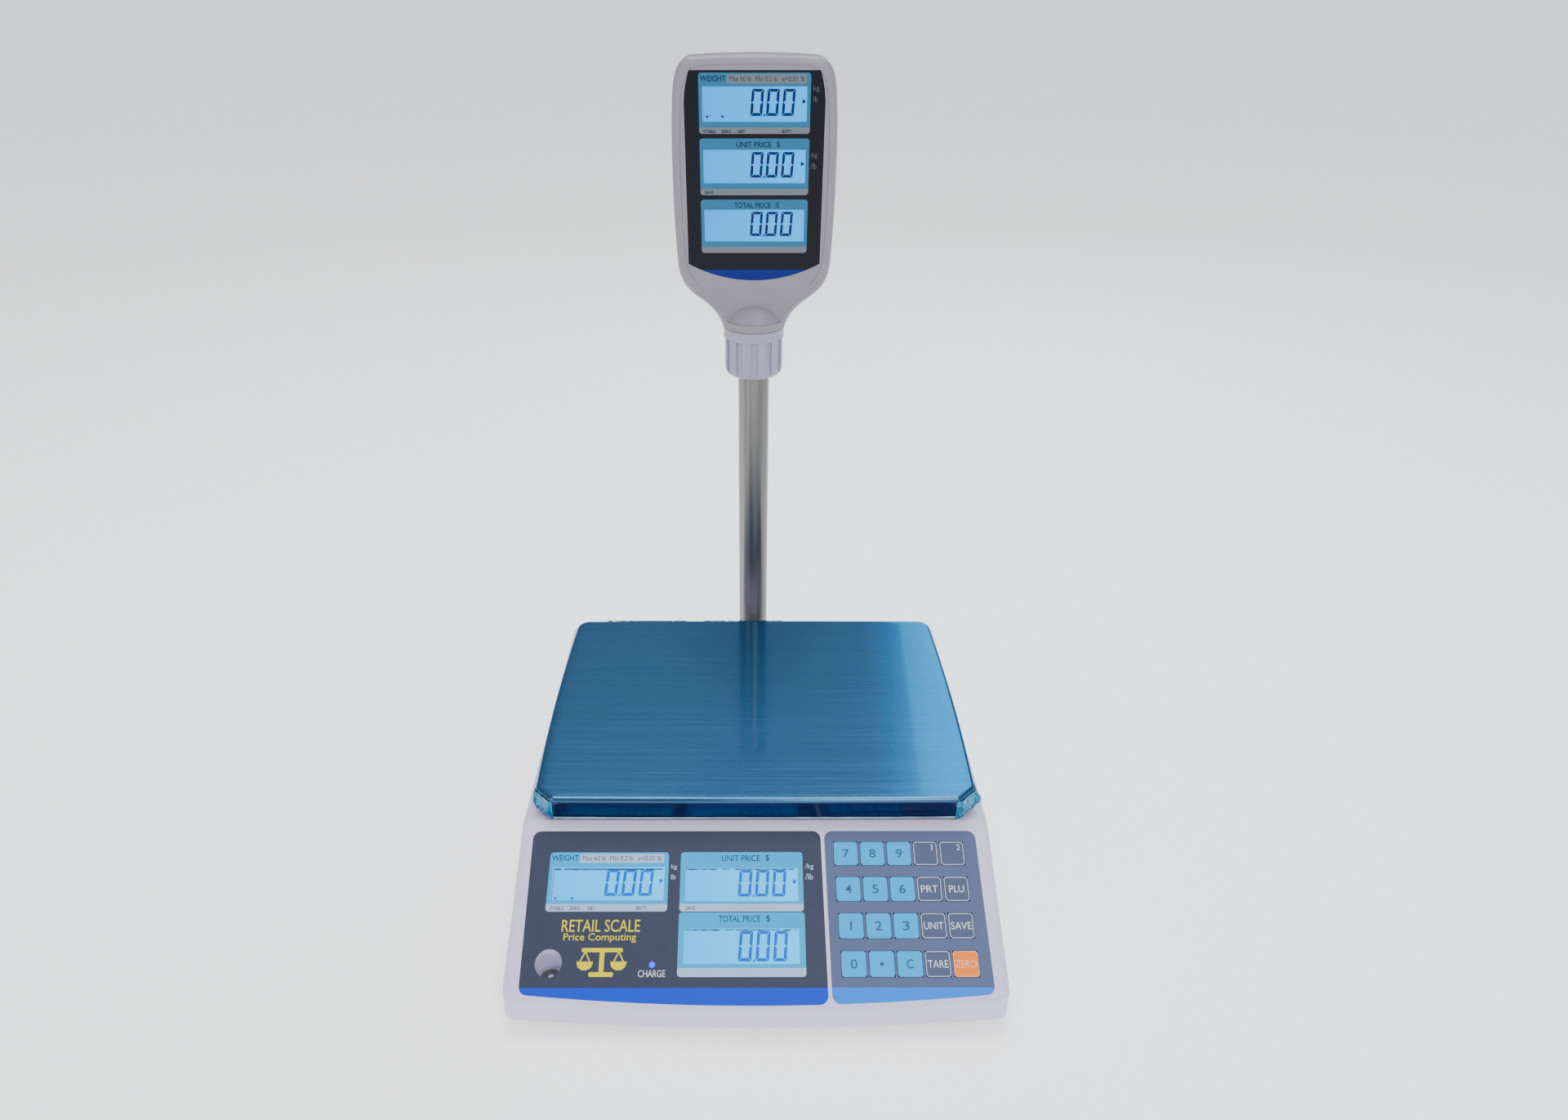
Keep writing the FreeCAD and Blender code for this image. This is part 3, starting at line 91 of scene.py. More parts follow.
def make(name, base, rough, metal=0.0, vary=0.05, grain=900.0, bump=0.08, depth=0.0001,
         stretch=(1, 1, 1), rough_vary=0.06, coarse=30, **sockets):
    """A material with a fine grain: its colour, roughness and relief all follow noise."""
    mat = bpy.data.materials.new(name)
    mat.use_nodes = True
    tree = mat.node_tree
    shader = tree.nodes["Principled BSDF"]
    shader.inputs["Metallic"].default_value = metal
    for key, value in sockets.items():
        shader.inputs[key.replace("_", " ")].default_value = value
    place = tree.nodes.new("ShaderNodeTexCoord")
    mapping = tree.nodes.new("ShaderNodeMapping")
    mapping.inputs["Scale"].default_value = stretch
    link(tree, place.outputs["Object"], mapping.inputs["Vector"])
    fine = tree.nodes.new("ShaderNodeTexNoise")
    fine.inputs["Scale"].default_value = grain
    fine.inputs["Detail"].default_value = 3
    link(tree, mapping.outputs["Vector"], fine.inputs["Vector"])
    broad = tree.nodes.new("ShaderNodeTexNoise")
    broad.inputs["Scale"].default_value = grain / coarse
    broad.inputs["Detail"].default_value = 2
    link(tree, mapping.outputs["Vector"], broad.inputs["Vector"])
    ramp = tree.nodes.new("ShaderNodeValToRGB")
    ramp.color_ramp.elements[0].position = 0.3
    ramp.color_ramp.elements[1].position = 0.7
    ramp.color_ramp.elements[0].color = [c * (1 - vary) for c in base] + [1]
    ramp.color_ramp.elements[1].color = [min(1, c * (1 + vary)) for c in base] + [1]
    link(tree, broad.outputs["Fac"], ramp.inputs["Fac"])
    link(tree, ramp.outputs["Color"], shader.inputs["Base Color"])
    spread = tree.nodes.new("ShaderNodeMapRange")
    spread.inputs["To Min"].default_value = max(0.02, rough - rough_vary)
    spread.inputs["To Max"].default_value = min(1, rough + rough_vary)
    link(tree, fine.outputs["Fac"], spread.inputs["Value"])
    link(tree, spread.outputs["Result"], shader.inputs["Roughness"])
    relief = tree.nodes.new("ShaderNodeBump")
    relief.inputs["Strength"].default_value = bump
    relief.inputs["Distance"].default_value = depth
    link(tree, fine.outputs["Fac"], relief.inputs["Height"])
    link(tree, relief.outputs["Normal"], shader.inputs["Normal"])
    mat["ramp"] = ramp.name
    return mat


def side_print_and_painted_shade(mat, normal, distance, other):
    """Gives the side of a plane that its normal points to a second colour: a printed band on the
    overlays, painted shade on the tray film's bend and skirt.
    """
    tree = mat.node_tree
    shader = tree.nodes["Principled BSDF"]
    place = tree.nodes.new("ShaderNodeTexCoord")
    dot = tree.nodes.new("ShaderNodeVectorMath")
    dot.operation = "DOT_PRODUCT"
    dot.inputs[1].default_value = normal
    link(tree, place.outputs["Object"], dot.inputs[0])
    side = tree.nodes.new("ShaderNodeMath")
    side.operation = "GREATER_THAN"
    side.inputs[1].default_value = distance
    link(tree, dot.outputs["Value"], side.inputs[0])
    mix = tree.nodes.new("ShaderNodeMix")
    mix.data_type = "RGBA"
    mix.inputs[7].default_value = (*other, 1)
    link(tree, side.outputs[0], mix.inputs[0])
    link(tree, tree.nodes[mat["ramp"]].outputs["Color"], mix.inputs[6])
    link(tree, mix.outputs[2], shader.inputs["Base Color"])


def brushed(mat, axis):
    """Gives an anisotropic material one grain direction, square to the axis."""
    tree = mat.node_tree
    grain = tree.nodes.new("ShaderNodeTangent")
    grain.direction_type = "RADIAL"
    grain.axis = axis
    link(tree, grain.outputs["Tangent"], tree.nodes["Principled BSDF"].inputs["Tangent"])


def lit(mat, left, right, node, strength):
    """Makes a display glow, a little brighter to one side, as a lamp at its edge does."""
    tree = mat.node_tree
    shader = tree.nodes["Principled BSDF"]
    low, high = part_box(node)
    place = tree.nodes.new("ShaderNodeTexCoord")
    split = tree.nodes.new("ShaderNodeSeparateXYZ")
    link(tree, place.outputs["Object"], split.inputs[0])
    across = tree.nodes.new("ShaderNodeMapRange")
    across.inputs["From Min"].default_value = low.x
    across.inputs["From Max"].default_value = high.x
    link(tree, split.outputs["X"], across.inputs["Value"])
    glow = tree.nodes.new("ShaderNodeValToRGB")
    glow.color_ramp.elements[0].color = (*left, 1)
    glow.color_ramp.elements[1].color = (*right, 1)
    link(tree, across.outputs["Result"], glow.inputs["Fac"])
    link(tree, glow.outputs["Color"], shader.inputs["Emission Color"])
    shader.inputs["Emission Strength"].default_value = strength


white = make("white_abs", (0.64, 0.585, 0.80), 0.46, grain=1600, bump=0.10, vary=0.012)
# the head and its lock collar are the same white plastic as the housing: their darker colours are
# painted shade
head_white_painted_shade = make("head_abs_painted_shade", (0.225, 0.205, 0.235), 0.44, grain=1600, bump=0.10, vary=0.012)
collar_white_painted_shade = make("collar_abs_painted_shade", (0.32, 0.285, 0.42), 0.44, grain=1600, bump=0.10, vary=0.012)
dark = make("dark_abs", (0.045, 0.045, 0.05), 0.62, grain=1200, bump=0.35, vary=0.10)
rocker_black = make("rocker_black", (0.012, 0.012, 0.012), 0.22, grain=1500, bump=0.05)
steel = make("steel", (0.62, 0.63, 0.65), 0.30, metal=1.0, grain=500, stretch=(0.05, 4, 4))
film_blue = make("film_blue", (0.030, 0.118, 0.245), 0.24, metal=0.96, vary=0.05, grain=300,
                 coarse=2, bump=0.90, depth=0.00016, stretch=(0.03, 3.0, 3.0), rough_vary=0.04,
                 Anisotropic=0.9, Coat_Weight=0.60, Coat_Roughness=0.05, Coat_IOR=1.45,
                 Specular_Tint=(0.16, 0.42, 0.66, 1))
# the tube's dark tone and the vertical streaks that the large vary and the stretch give it around
# its axis are painted reflections
tube_painted_reflections = make("stainless_tube", (0.17, 0.160, 0.150), 0.26, metal=1.0, grain=260, vary=0.62,
              bump=0.03, stretch=(16, 16, 0.03), rough_vary=0.04, Anisotropic=0.9)
zinc = make("zinc_steel", (0.50, 0.50, 0.50), 0.35, metal=1.0, grain=700)
alu = make("cast_aluminium", (0.58, 0.59, 0.61), 0.42, metal=1.0, grain=420, bump=0.25)
rubber = make("rubber_black", (0.022, 0.022, 0.024), 0.75, grain=900, bump=0.4, vary=0.15)
grey = make("overlay_grey", (0.036, 0.043, 0.075), 0.42, Specular_IOR_Level=0.2, grain=2600,
            bump=0.22, depth=0.00004, vary=0.03)
# the keypad's overlay is the same grey print as the display's: its lighter grey is a painted
# reflection of light from the right
grey_pad_painted_light = make("overlay_grey_pad", (0.080, 0.105, 0.205), 0.42, Specular_IOR_Level=0.25,
                grain=2600, bump=0.22, depth=0.00004, vary=0.03)
black = make("overlay_black", (0.0045, 0.005, 0.009), 0.36, Specular_IOR_Level=0.16, grain=2600,
             bump=0.10, depth=0.00004, vary=0.05)
key_blue = make("key_blue", (0.0, 0.37, 0.80), 0.42, Specular_IOR_Level=0.2, grain=2600, bump=0.2,
                vary=0.02)
key_dark = make("key_dark", (0.068, 0.088, 0.160), 0.40, Specular_IOR_Level=0.25, grain=2600,
                bump=0.2, vary=0.03)
key_orange = make("key_orange", (1.0, 0.21, 0.012), 0.42, Specular_IOR_Level=0.2, grain=2600,
                  bump=0.2, vary=0.02)
led = make("led_blue", (0.01, 0.10, 0.85), 0.2, grain=2000, vary=0.02, bump=0.02)
vial = make("level_vial", (0.44, 0.46, 0.46), 0.08, grain=500, bump=0.02, Coat_Weight=0.5)
vial_dark = make("vial_dark", (0.055, 0.060, 0.055), 0.06, grain=500, bump=0.02, Coat_Weight=0.6)
board = make("board_green", (0.012, 0.10, 0.035), 0.45, grain=300, bump=0.15)
battery_case = make("battery_case", (0.03, 0.03, 0.034), 0.55, grain=900, bump=0.3)
bracket = make("bracket_grey", (0.42, 0.42, 0.45), 0.48, grain=800, bump=0.3)
nylon = make("sleeve_nylon", (0.55, 0.55, 0.56), 0.5, grain=900)
teal = make("print_teal", (0.004, 0.355, 0.70), 0.40, Specular_IOR_Level=0.2, grain=2600,
            vary=0.02, bump=0.1)
head_teal = make("print_teal_head", (0.008, 0.125, 0.250), 0.36, Specular_IOR_Level=0.3,
                 grain=2600, vary=0.02, bump=0.1)
pale = make("print_pale", (0.37, 0.48, 0.68), 0.45, Specular_IOR_Level=0.2, grain=2600, vary=0.02,
            bump=0.1)
head_pale = make("print_pale_head", (0.125, 0.14, 0.165), 0.42, Specular_IOR_Level=0.3, grain=2600,
                 vary=0.02, bump=0.1)
head_dim = make("print_dim_head", (0.050, 0.056, 0.066), 0.42, grain=2600, vary=0.02, bump=0.1)
bright = make("print_white", (0.62, 0.65, 0.70), 0.45, grain=2600, vary=0.02, bump=0.1)
ink = make("print_ink", (0.004, 0.014, 0.030), 0.45, Specular_IOR_Level=0.2, grain=2600, vary=0.04,
           bump=0.1)
slate = make("print_slate", (0.022, 0.085, 0.18), 0.45, Specular_IOR_Level=0.2, grain=2600,
             vary=0.04, bump=0.1)
yellow = make("print_yellow", (0.74, 0.62, 0.0), 0.42, Specular_IOR_Level=0.1, grain=2600,
              vary=0.03, bump=0.1)
salmon = make("print_salmon", (0.86, 0.47, 0.32), 0.45, grain=2600, vary=0.02, bump=0.1)
base_digit = make("digit_base", (0.0, 0.115, 0.62), 0.3, Specular_IOR_Level=0.2, grain=900,
                  vary=0.08, bump=0.03)
head_digit = make("digit_head", (0.0, 0.007, 0.075), 0.3, Specular_IOR_Level=0.2, grain=900,
                  vary=0.12, bump=0.03)
# a dark ink: the level's printed ring, and also the painted shadow along the lit glass and the
# painted shade in the screws' cross recesses
ink_and_painted_shade = make("ink_and_painted_shade", (0.008, 0.030, 0.060), 0.5, grain=900, vary=0.2, bump=0.1)
# the corner shreds are crumpled film, the same as the tray's: their lighter cyan is a painted
# reflection
shred_painted_reflection = make("frayed_film", (0.002, 0.20, 0.36), 0.22, metal=0.7, grain=900, vary=0.35, bump=0.5)
hem_film = make("hem_film", (0.20, 0.40, 0.50), 0.35, grain=1500, vary=0.5, bump=0.4)

brushed(film_blue, "X")
# the film's bend and skirt, from FILM_BEND under the tray's top down, take a darker blue: painted
# shade of the same film
FILM_BEND = 0.0025
side_print_and_painted_shade(film_blue, (0, 0, -1), FILM_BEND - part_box("weighing_pan")[1].z, (0.0, 0.008, 0.055))
brushed(tube_painted_reflections, "Z")
tube_painted_reflections.node_tree.nodes["Principled BSDF"].inputs["Anisotropic Rotation"].default_value = 0.25

slope_down = (0, -math.cos(SLOPE), -math.sin(SLOPE))
BAND_S = 110.0
band_from = Vector(slope_down).dot(PANEL @ Vector((0, -BAND_S, 0)))
side_print_and_painted_shade(grey, slope_down, band_from, (0.0, 0.045, 0.56))
# the keypad's band is lighter than the display's for the same reason: a painted reflection of light
# from the right
side_print_and_painted_shade(grey_pad_painted_light, slope_down, band_from, (0.0, 0.19, 0.78))
HEAD_BAND_Z = 429.0
side_print_and_painted_shade(black, (0, 0, -1), -HEAD_BAND_Z * MM, (0.0, 0.008, 0.15))

FINISH = {
    "top_cover": white, "bottom_cover": dark, "housing_screws": zinc, "load_cell": alu,
    "load_cell_bolts": zinc, "pan_support": alu, "support_bolts": zinc, "pan_bumpers": rubber,
    "weighing_pan": steel, "pan_film": film_blue, "display_overlay": grey,
    "keypad_membrane": grey_pad_painted_light, "charge_led": led, "bubble_level": vial, "main_board": board,
    "battery": battery_case, "battery_cover": dark, "power_switch": dark,
    "power_rocker": rocker_black, "power_jack": dark, "pole_bracket": bracket,
    "bracket_screws": zinc, "pole": tube_painted_reflections, "pole_cap": nylon, "neck_sleeve": nylon,
    "lock_collar": collar_white_painted_shade, "head_front": head_white_painted_shade, "head_rear": head_white_painted_shade,
    "head_overlay": black, "head_screws": zinc,
}
BLUE_KEYS = ("seven", "eight", "nine", "four", "five", "six", "one", "two", "three", "zero",
             "point", "clear")
DARK_KEYS = ("memory_one", "memory_two", "print", "lookup", "unit", "save", "tare")
for key in BLUE_KEYS:
    FINISH["key_" + key] = key_blue
for key in DARK_KEYS:
    FINISH["key_" + key] = key_dark
FINISH["key_zero_set"] = key_orange
for node in nodes:
    if node.startswith("foot_"):
        FINISH[node] = rubber

LCDS = ("weight", "unit_price", "total_price")
for name in LCDS:
    low = make("lcd_" + name, (0.001, 0.10, 0.30), 0.35, grain=2000, vary=0.03, bump=0.02,
               Specular_IOR_Level=0.15)
    lit(low, (0.0, 0.38, 0.84), (0.0, 0.54, 0.93), "lcd_" + name, 2.0)
    FINISH["lcd_" + name] = low
    high = make("head_lcd_" + name, (0.001, 0.06, 0.25), 0.35, grain=2000, vary=0.03, bump=0.02,
                Specular_IOR_Level=0.15)
    lit(high, (0.0, 0.32, 0.80), (0.0, 0.42, 0.92), "head_lcd_" + name, 1.6)
    FINISH["head_lcd_" + name] = high


def lamp(mat, colour, strength):
    shader = mat.node_tree.nodes["Principled BSDF"]
    shader.inputs["Emission Color"].default_value = (*colour, 1)
    shader.inputs["Emission Strength"].default_value = strength


lamp(led, (0.0, 0.055, 1.0), 1.2)

for node, obj in nodes.items():
    obj.data.materials.clear()
    obj.data.materials.append(FINISH[node])

# ---- Making pieces ------------------------------------------------------------------------------

# vertices closer than this become one, in millimetres, or in metres for pieces drawn in metres
MERGE = 0.0005
MERGE_METRES = 1e-7


def finished(name, mesh, mat, body):
    obj = bpy.data.objects.new(name, mesh)
    bpy.context.scene.collection.objects.link(obj)
    mesh.materials.append(mat)
    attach(obj, body)
    return obj


def piece(name, bm, surface, mat, body, merge=MERGE):
    """One object from closed forms drawn in a surface's own units, millimetres unless told."""
    bmesh.ops.remove_doubles(bm, verts=bm.verts, dist=merge)
    bmesh.ops.recalc_face_normals(bm, faces=bm.faces)
    mesh = bpy.data.meshes.new(name)
    bm.to_mesh(mesh)
    bm.free()
    mesh.transform(surface)
    return finished(name, mesh, mat, body)


def prism(bm, outline, low, high):
    """A closed plate with the given outline."""
    under = [bm.verts.new((x, y, low)) for x, y in outline]
    over = [bm.verts.new((x, y, high)) for x, y in outline]
    bm.faces.new(under[::-1])
    bm.faces.new(over)
    for i in range(len(outline)):
        j = (i + 1) % len(outline)
        bm.faces.new((under[i], under[j], over[j], over[i]))


def ring(bm, outer, inner, low, high):
    """A closed plate with a hole; both outlines have as many points."""
    rims = [[bm.verts.new((x, y, z)) for x, y in outline]
            for outline, z in ((outer, low), (outer, high), (inner, high), (inner, low))]
    for i in range(len(outer)):
        j = (i + 1) % len(outer)
        for a in range(4):
            b = (a + 1) % 4
            bm.faces.new((rims[a][i], rims[a][j], rims[b][j], rims[b][i]))


def round_rect(left, low, right, high, radius, steps=6):
    points = []
    for x, y, turn in ((right, high, 0), (left, high, 1), (left, low, 2), (right, low, 3)):
        cx = x - radius if x == right else x + radius
        cy = y - radius if y == high else y + radius
        for i in range(steps + 1):
            angle = math.pi / 2 * (turn + i / steps)
            points.append((cx + radius * math.cos(angle), cy + radius * math.sin(angle)))
    return points


# low and high faces of printed pieces above their surface
PRINT = (-0.02, 0.035)
FRAME_PRINT = (-0.02, 0.03)
PLATE = (0.0, 0.045)
ON_FRAME = (0, 0.05)
ON_PLATE = (0.02, 0.06)


def word(bm, text, left, low, right, high, z=PRINT, weight=0.0):
    """Lettering fitted to a box, as closed solids."""
    curve = bpy.data.curves.new("word", "FONT")
    curve.body = text
    curve.extrude = 0.5
    curve.offset = weight
    curve.resolution_u = 3
    holder = bpy.data.objects.new("word", curve)
    mesh = bpy.data.meshes.new_from_object(holder)
    bpy.data.objects.remove(holder)
    xs = [v.co.x for v in mesh.vertices]
    ys = [v.co.y for v in mesh.vertices]
    wide = (right - left) / (max(xs) - min(xs))
    tall = (high - low) / (max(ys) - min(ys))
    for v in mesh.vertices:
        v.co = (left + (v.co.x - min(xs)) * wide, low + (v.co.y - min(ys)) * tall,
                z[0] + (v.co.z + 0.5) * (z[1] - z[0]))
    bm.from_mesh(mesh)
    bpy.data.meshes.remove(mesh)


def shifted(points, x, y):
    return [(px + x, py + y) for px, py in points]


# ---- Display digits -----------------------------------------------------------------------------

DIGIT_W = 9.5
SLANT = 0.075
STROKE = 2.15
CHIP = 0.22
DIGIT_PITCH = 12.36
DIGITS_W = 33.6
FIRST_LEAN = 2.4
POINT_BACK = 1.75


def nought(bm, x, low, high, z):
    """A seven-segment 0, which leans to the right: six bars with thin gaps between them."""
    tall = high - low
    half = tall / 2
    s, c, w = STROKE, CHIP, DIGIT_W
    bars = [
        [(c, tall), (w - c, tall), (w - s - c, tall - s), (s + c, tall - s)],
        [(c, 0), (s + c, s), (w - s - c, s), (w - c, 0)],
    ]
    for side in (0, 1):
        for flip in (1, -1):
            edge = [(0, c), (0, half - c), (s, half - s - c), (s, c + s * 0.55), (s * 0.5, c)]
            bar = [(px if side == 0 else w - px, half + flip * py) for px, py in edge]
            bars.append(bar)
    for bar in bars:
        prism(bm, [(x + px + SLANT * py, low + py) for px, py in bar], *z)


def price_digits(bm, x, y, low, high, z):
    """0.00 with its point, ending at the right of the lit window."""
    for i in range(3):
        nought(bm, x - FIRST_LEAN + DIGIT_PITCH * i, y + low, y + high, z)
    dot = x - FIRST_LEAN + DIGIT_PITCH - POINT_BACK
    prism(bm, shifted([(0, 0), (1.3, 0), (1.45, 1.5), (0.15, 1.5)], dot, y + low - 0.3), *z)


# ---- The two sets of windows --------------------------------------------------------------------

# left, low, right, high of each window's print about its display's middle, top of its low strip,
# and the low and high edges of its digits
BASE_SET = {
    "weight": ((-43.5, -19.8, 43.8, 22.4), -14.6, (-8.7, 10.3), 33.6),
    "unit_price": ((-44.7, -19.1, 44.7, 23.2), -13.9, (-8.5, 10.6), 33.2),
    "total_price": ((-44.8, -20.5, 45.2, 22.9), -14.6, (-10.1, 10.3), 33.4),
}
HEAD_SET = {
    "weight": ((-43.7, -21.4, 43.7, 22.4), -16.8, (-8.4, 11.0), 32.5),
    "unit_price": ((-43.7, -21.8, 43.7, 21.1), -16.9, (-8.4, 11.0), 32.5),
    "total_price": ((-43.7, -21.9, 43.7, 20.7), -16.9, (-8.4, 11.0), 32.3),
}
LIT_HALF_W = 41.0
WINDOW_RAD = 2.4
LOW_CORNERS = 2.5
LIT_RAD = 0.25

# the weight window's capacity plate, and words and marks with their left and right ends
RATING = (-21.5, 14.7, 40.3, 21.3)
RATING_RAD = 0.5
RATING_ROW = (16.4, 20.0)
RATING_WORDS = (("Max 60 lb", -19.6, -2.6), ("Min 0.2 lb", 0.6, 17.6), ("e=0.01 lb", 21.2, 38.6))
STATE_WORDS = (("STABLE", -40.4, -30.6), ("ZERO", -26.3, -18.6), ("NET", -13.2, -7.4),
               ("BATT.", 21.8, 29.6))
STATE_ROW = (4.1, 1.6)
STATE_MARKS = (-37.3, -25.2)
STATE_ARROW = [(-1.5, 1.4), (0, -0.6), (1.5, 1.4)]
UNIT_ARROW = [(0, -1.9), (2.9, 0), (0, 1.9)]
UNIT_ARROW_AT = (37.4, 2.0)
TITLES = {"unit_price": ("UNIT PRICE", -14.6), "total_price": ("TOTAL PRICE", -16.5)}

# the painted shadow line along the lit glass: its start inside the lit glass, its steps along the
# top and down the left
EDGE_IN = 0.8
EDGE_DROP = {"weight": 1.3, "unit_price": 0.8, "total_price": 0.8}
EDGE_THICK = {"weight": 0.75, "unit_price": 0.40, "total_price": 0.40}
EDGE_STEP, EDGE_STEPS = 1.5, 53
EDGE_OVER = 0.16
SIDE_STEP, SIDE_STEPS = 1.55, 14
SIDE_DASH, SIDE_THICK = 1.4, 0.42


def display_set(prefix, surface, windows, lit_half_high, glass_z, mats, body, bold,
                mark_up):
    """The printed frame, strip, words and digits of three windows. The two bold values thicken
    the titles and the strip's words; mark_up lifts the state marks off the lit window's foot."""
    frame_mat, strip_mat, digit_mat = mats
    teal_form, strip_form, digit_form = bmesh.new(), bmesh.new(), bmesh.new()
    ink_form, faint_form, shadow_line_form = bmesh.new(), bmesh.new(), bmesh.new()
    on_glass = (glass_z - 0.02, glass_z + 0.03)
    for name, ((left, low, right, high), strip, digits, digit_right) in windows.items():
        at = on(surface, prefix + "lcd_" + name)
        x, y = at.x, at.y
        outer = round_rect(x + left, y + low, x + right, y + high, WINDOW_RAD)
        inner = round_rect(x - LIT_HALF_W, y - lit_half_high, x + LIT_HALF_W,
                           y + lit_half_high, LIT_RAD)
        ring(teal_form, outer, inner, *FRAME_PRINT)
        low_strip = [p for p in outer if p[1] < y + low + LOW_CORNERS]
        prism(strip_form, [(x + right, y + strip), (x + left, y + strip)] + low_strip,
              *PLATE)
        price_digits(digit_form, x + digit_right - DIGITS_W, y, digits[0], digits[1], on_glass)
        if name != "total_price":
            prism(digit_form, shifted(UNIT_ARROW, x + UNIT_ARROW_AT[0], y + UNIT_ARROW_AT[1]),
                  *on_glass)
        if name == "weight":
            prism(strip_form, round_rect(x + RATING[0], y + RATING[1], x + RATING[2],
                                         y + RATING[3], RATING_RAD), *PLATE)
            word(ink_form, "WEIGHT", x - 42.3, y + 16.3, x - 22.6, y + 20.4, ON_FRAME, bold[0])
            for text, a, b in RATING_WORDS:
                word(ink_form, text, x + a, y + RATING_ROW[0], x + b, y + RATING_ROW[1],
                     ON_PLATE)
            for text, a, b in STATE_WORDS:
                word(faint_form, text, x + a, y + strip - STATE_ROW[0], x + b,
                     y + strip - STATE_ROW[1], ON_PLATE, bold[1])
            for a in STATE_MARKS:
                prism(digit_form, shifted(STATE_ARROW, x + a, y - lit_half_high + mark_up),
                      *on_glass)
        else:
            title, start = TITLES[name]
            word(ink_form, title, x + start, y + high - 6.7, x + 13.4, y + high - 2.3,
                 ON_FRAME, bold[0])
            word(ink_form, "$", x + 17.6, y + high - 7.0, x + 20.3, y + high - 2.0, ON_FRAME)
        if name == "unit_price":
            word(faint_form, "SAVE", x - 40.2, y + strip - STATE_ROW[0], x - 33.2,
                 y + strip - STATE_ROW[1], ON_PLATE, bold[1])
    # a dark line of painted shadow along each lit glass
    painted_shadow_lines(shadow_line_form, surface, windows, lit_half_high, on_glass)
    piece(prefix + "glass_edge_lines", shadow_line_form, surface, ink_and_painted_shade, body)
    piece(prefix + "window_frames", teal_form, surface, frame_mat, body)
    piece(prefix + "window_strips", strip_form, surface, strip_mat, body)
    piece(prefix + "digits", digit_form, surface, digit_mat, body)
    piece(prefix + "window_words", ink_form, surface, ink, body)
    piece(prefix + "strip_words", faint_form, surface, ink, body)


def painted_shadow_lines(bm, surface, windows, lit_half_high, z):
    """The uneven dark line of painted shadow along the top of each lit glass, and down the left of
    the weight's. It is set out from the base's displays for both sets, so the head's line doesn't
    lie on its glass: it hangs behind the housing's rear wall and turns with the head."""
    for seed, name in enumerate(windows):
        at = on(surface, "lcd_" + name)
        x, y = at.x - LIT_HALF_W + EDGE_IN, at.y + lit_half_high - EDGE_DROP[name]
        for i in range(EDGE_STEPS):
            rough = noise.noise(Vector((i * 0.35, seed * 7.3, 0)))
            if rough < -0.40:
                continue
            thick = EDGE_THICK[name] + 0.8 * max(0, rough)
            start, stop = x + EDGE_STEP * i, x + EDGE_STEP * (i + 1)
            prism(bm, [(start, y - thick), (stop, y - thick), (stop, y + EDGE_OVER),
                       (start, y + EDGE_OVER)], *z)
        if name != "weight":
            continue
        for i in range(SIDE_STEPS):
            rough = noise.noise(Vector((i * 0.6, 30.1, 0)))
            if rough > 0.25:
                continue
            a = y - SIDE_STEP * i - 1.0
            prism(bm, [(x, a - SIDE_DASH), (x + SIDE_THICK, a - SIDE_DASH), (x + SIDE_THICK, a),
                       (x, a)], *z)


GLASS_HALF_T = 3.5
glass_z = on(PANEL, "lcd_weight").z + GLASS_HALF_T
display_set("", PANEL, BASE_SET, 12.0, glass_z, (teal, pale, base_digit),
            "base", (0.0, 0.012), 1.0)
head_glass_z = on(FACE, "head_lcd_weight").z + GLASS_HALF_T
display_set("head_", FACE, HEAD_SET, 12.7, head_glass_z, (head_teal, head_pale, head_digit),
            "head", (0.016, 0.034), 3.0)

# ---- Words beside the windows -------------------------------------------------------------------

weight_at, unit_at = on(PANEL, "lcd_weight"), on(PANEL, "lcd_unit_price")
white_words = bmesh.new()
word(white_words, "kg", weight_at.x + 45.8, -29.6, weight_at.x + 49.8, -25.6)
word(white_words, "lb", weight_at.x + 45.9, -36.4, weight_at.x + 49.2, -32.9)
word(white_words, "/kg", unit_at.x + 46.6, -29.7, unit_at.x + 52.6, -25.1)
word(white_words, "/lb", unit_at.x + 46.6, -36.6, unit_at.x + 52.1, -32.4)
piece("unit_words", white_words, PANEL, pale, "base")

charge_word = bmesh.new()
word(charge_word, "CHARGE", -82.2, -103.0, -63.3, -98.5)
piece("charge_word", charge_word, PANEL, bright, "base")

head_words = bmesh.new()
word(head_words, "kg", 45.6, 565.6, 50.4, 570.2)
word(head_words, "lb", 45.9, 558.6, 49.2, 562.4)
word(head_words, "/kg", 45.0, 516.8, 50.2, 521.6)
word(head_words, "/lb", 45.0, 509.0, 49.8, 513.4)
piece("head_words", head_words, FACE, head_dim, "head")

title = bmesh.new()
word(title, "RETAIL SCALE", -138.0, -72.9, -82.4, -64.6)
word(title, "Price Computing", -136.2, -80.2, -84.8, -73.9)
piece("title_words", title, PANEL, yellow, "base")

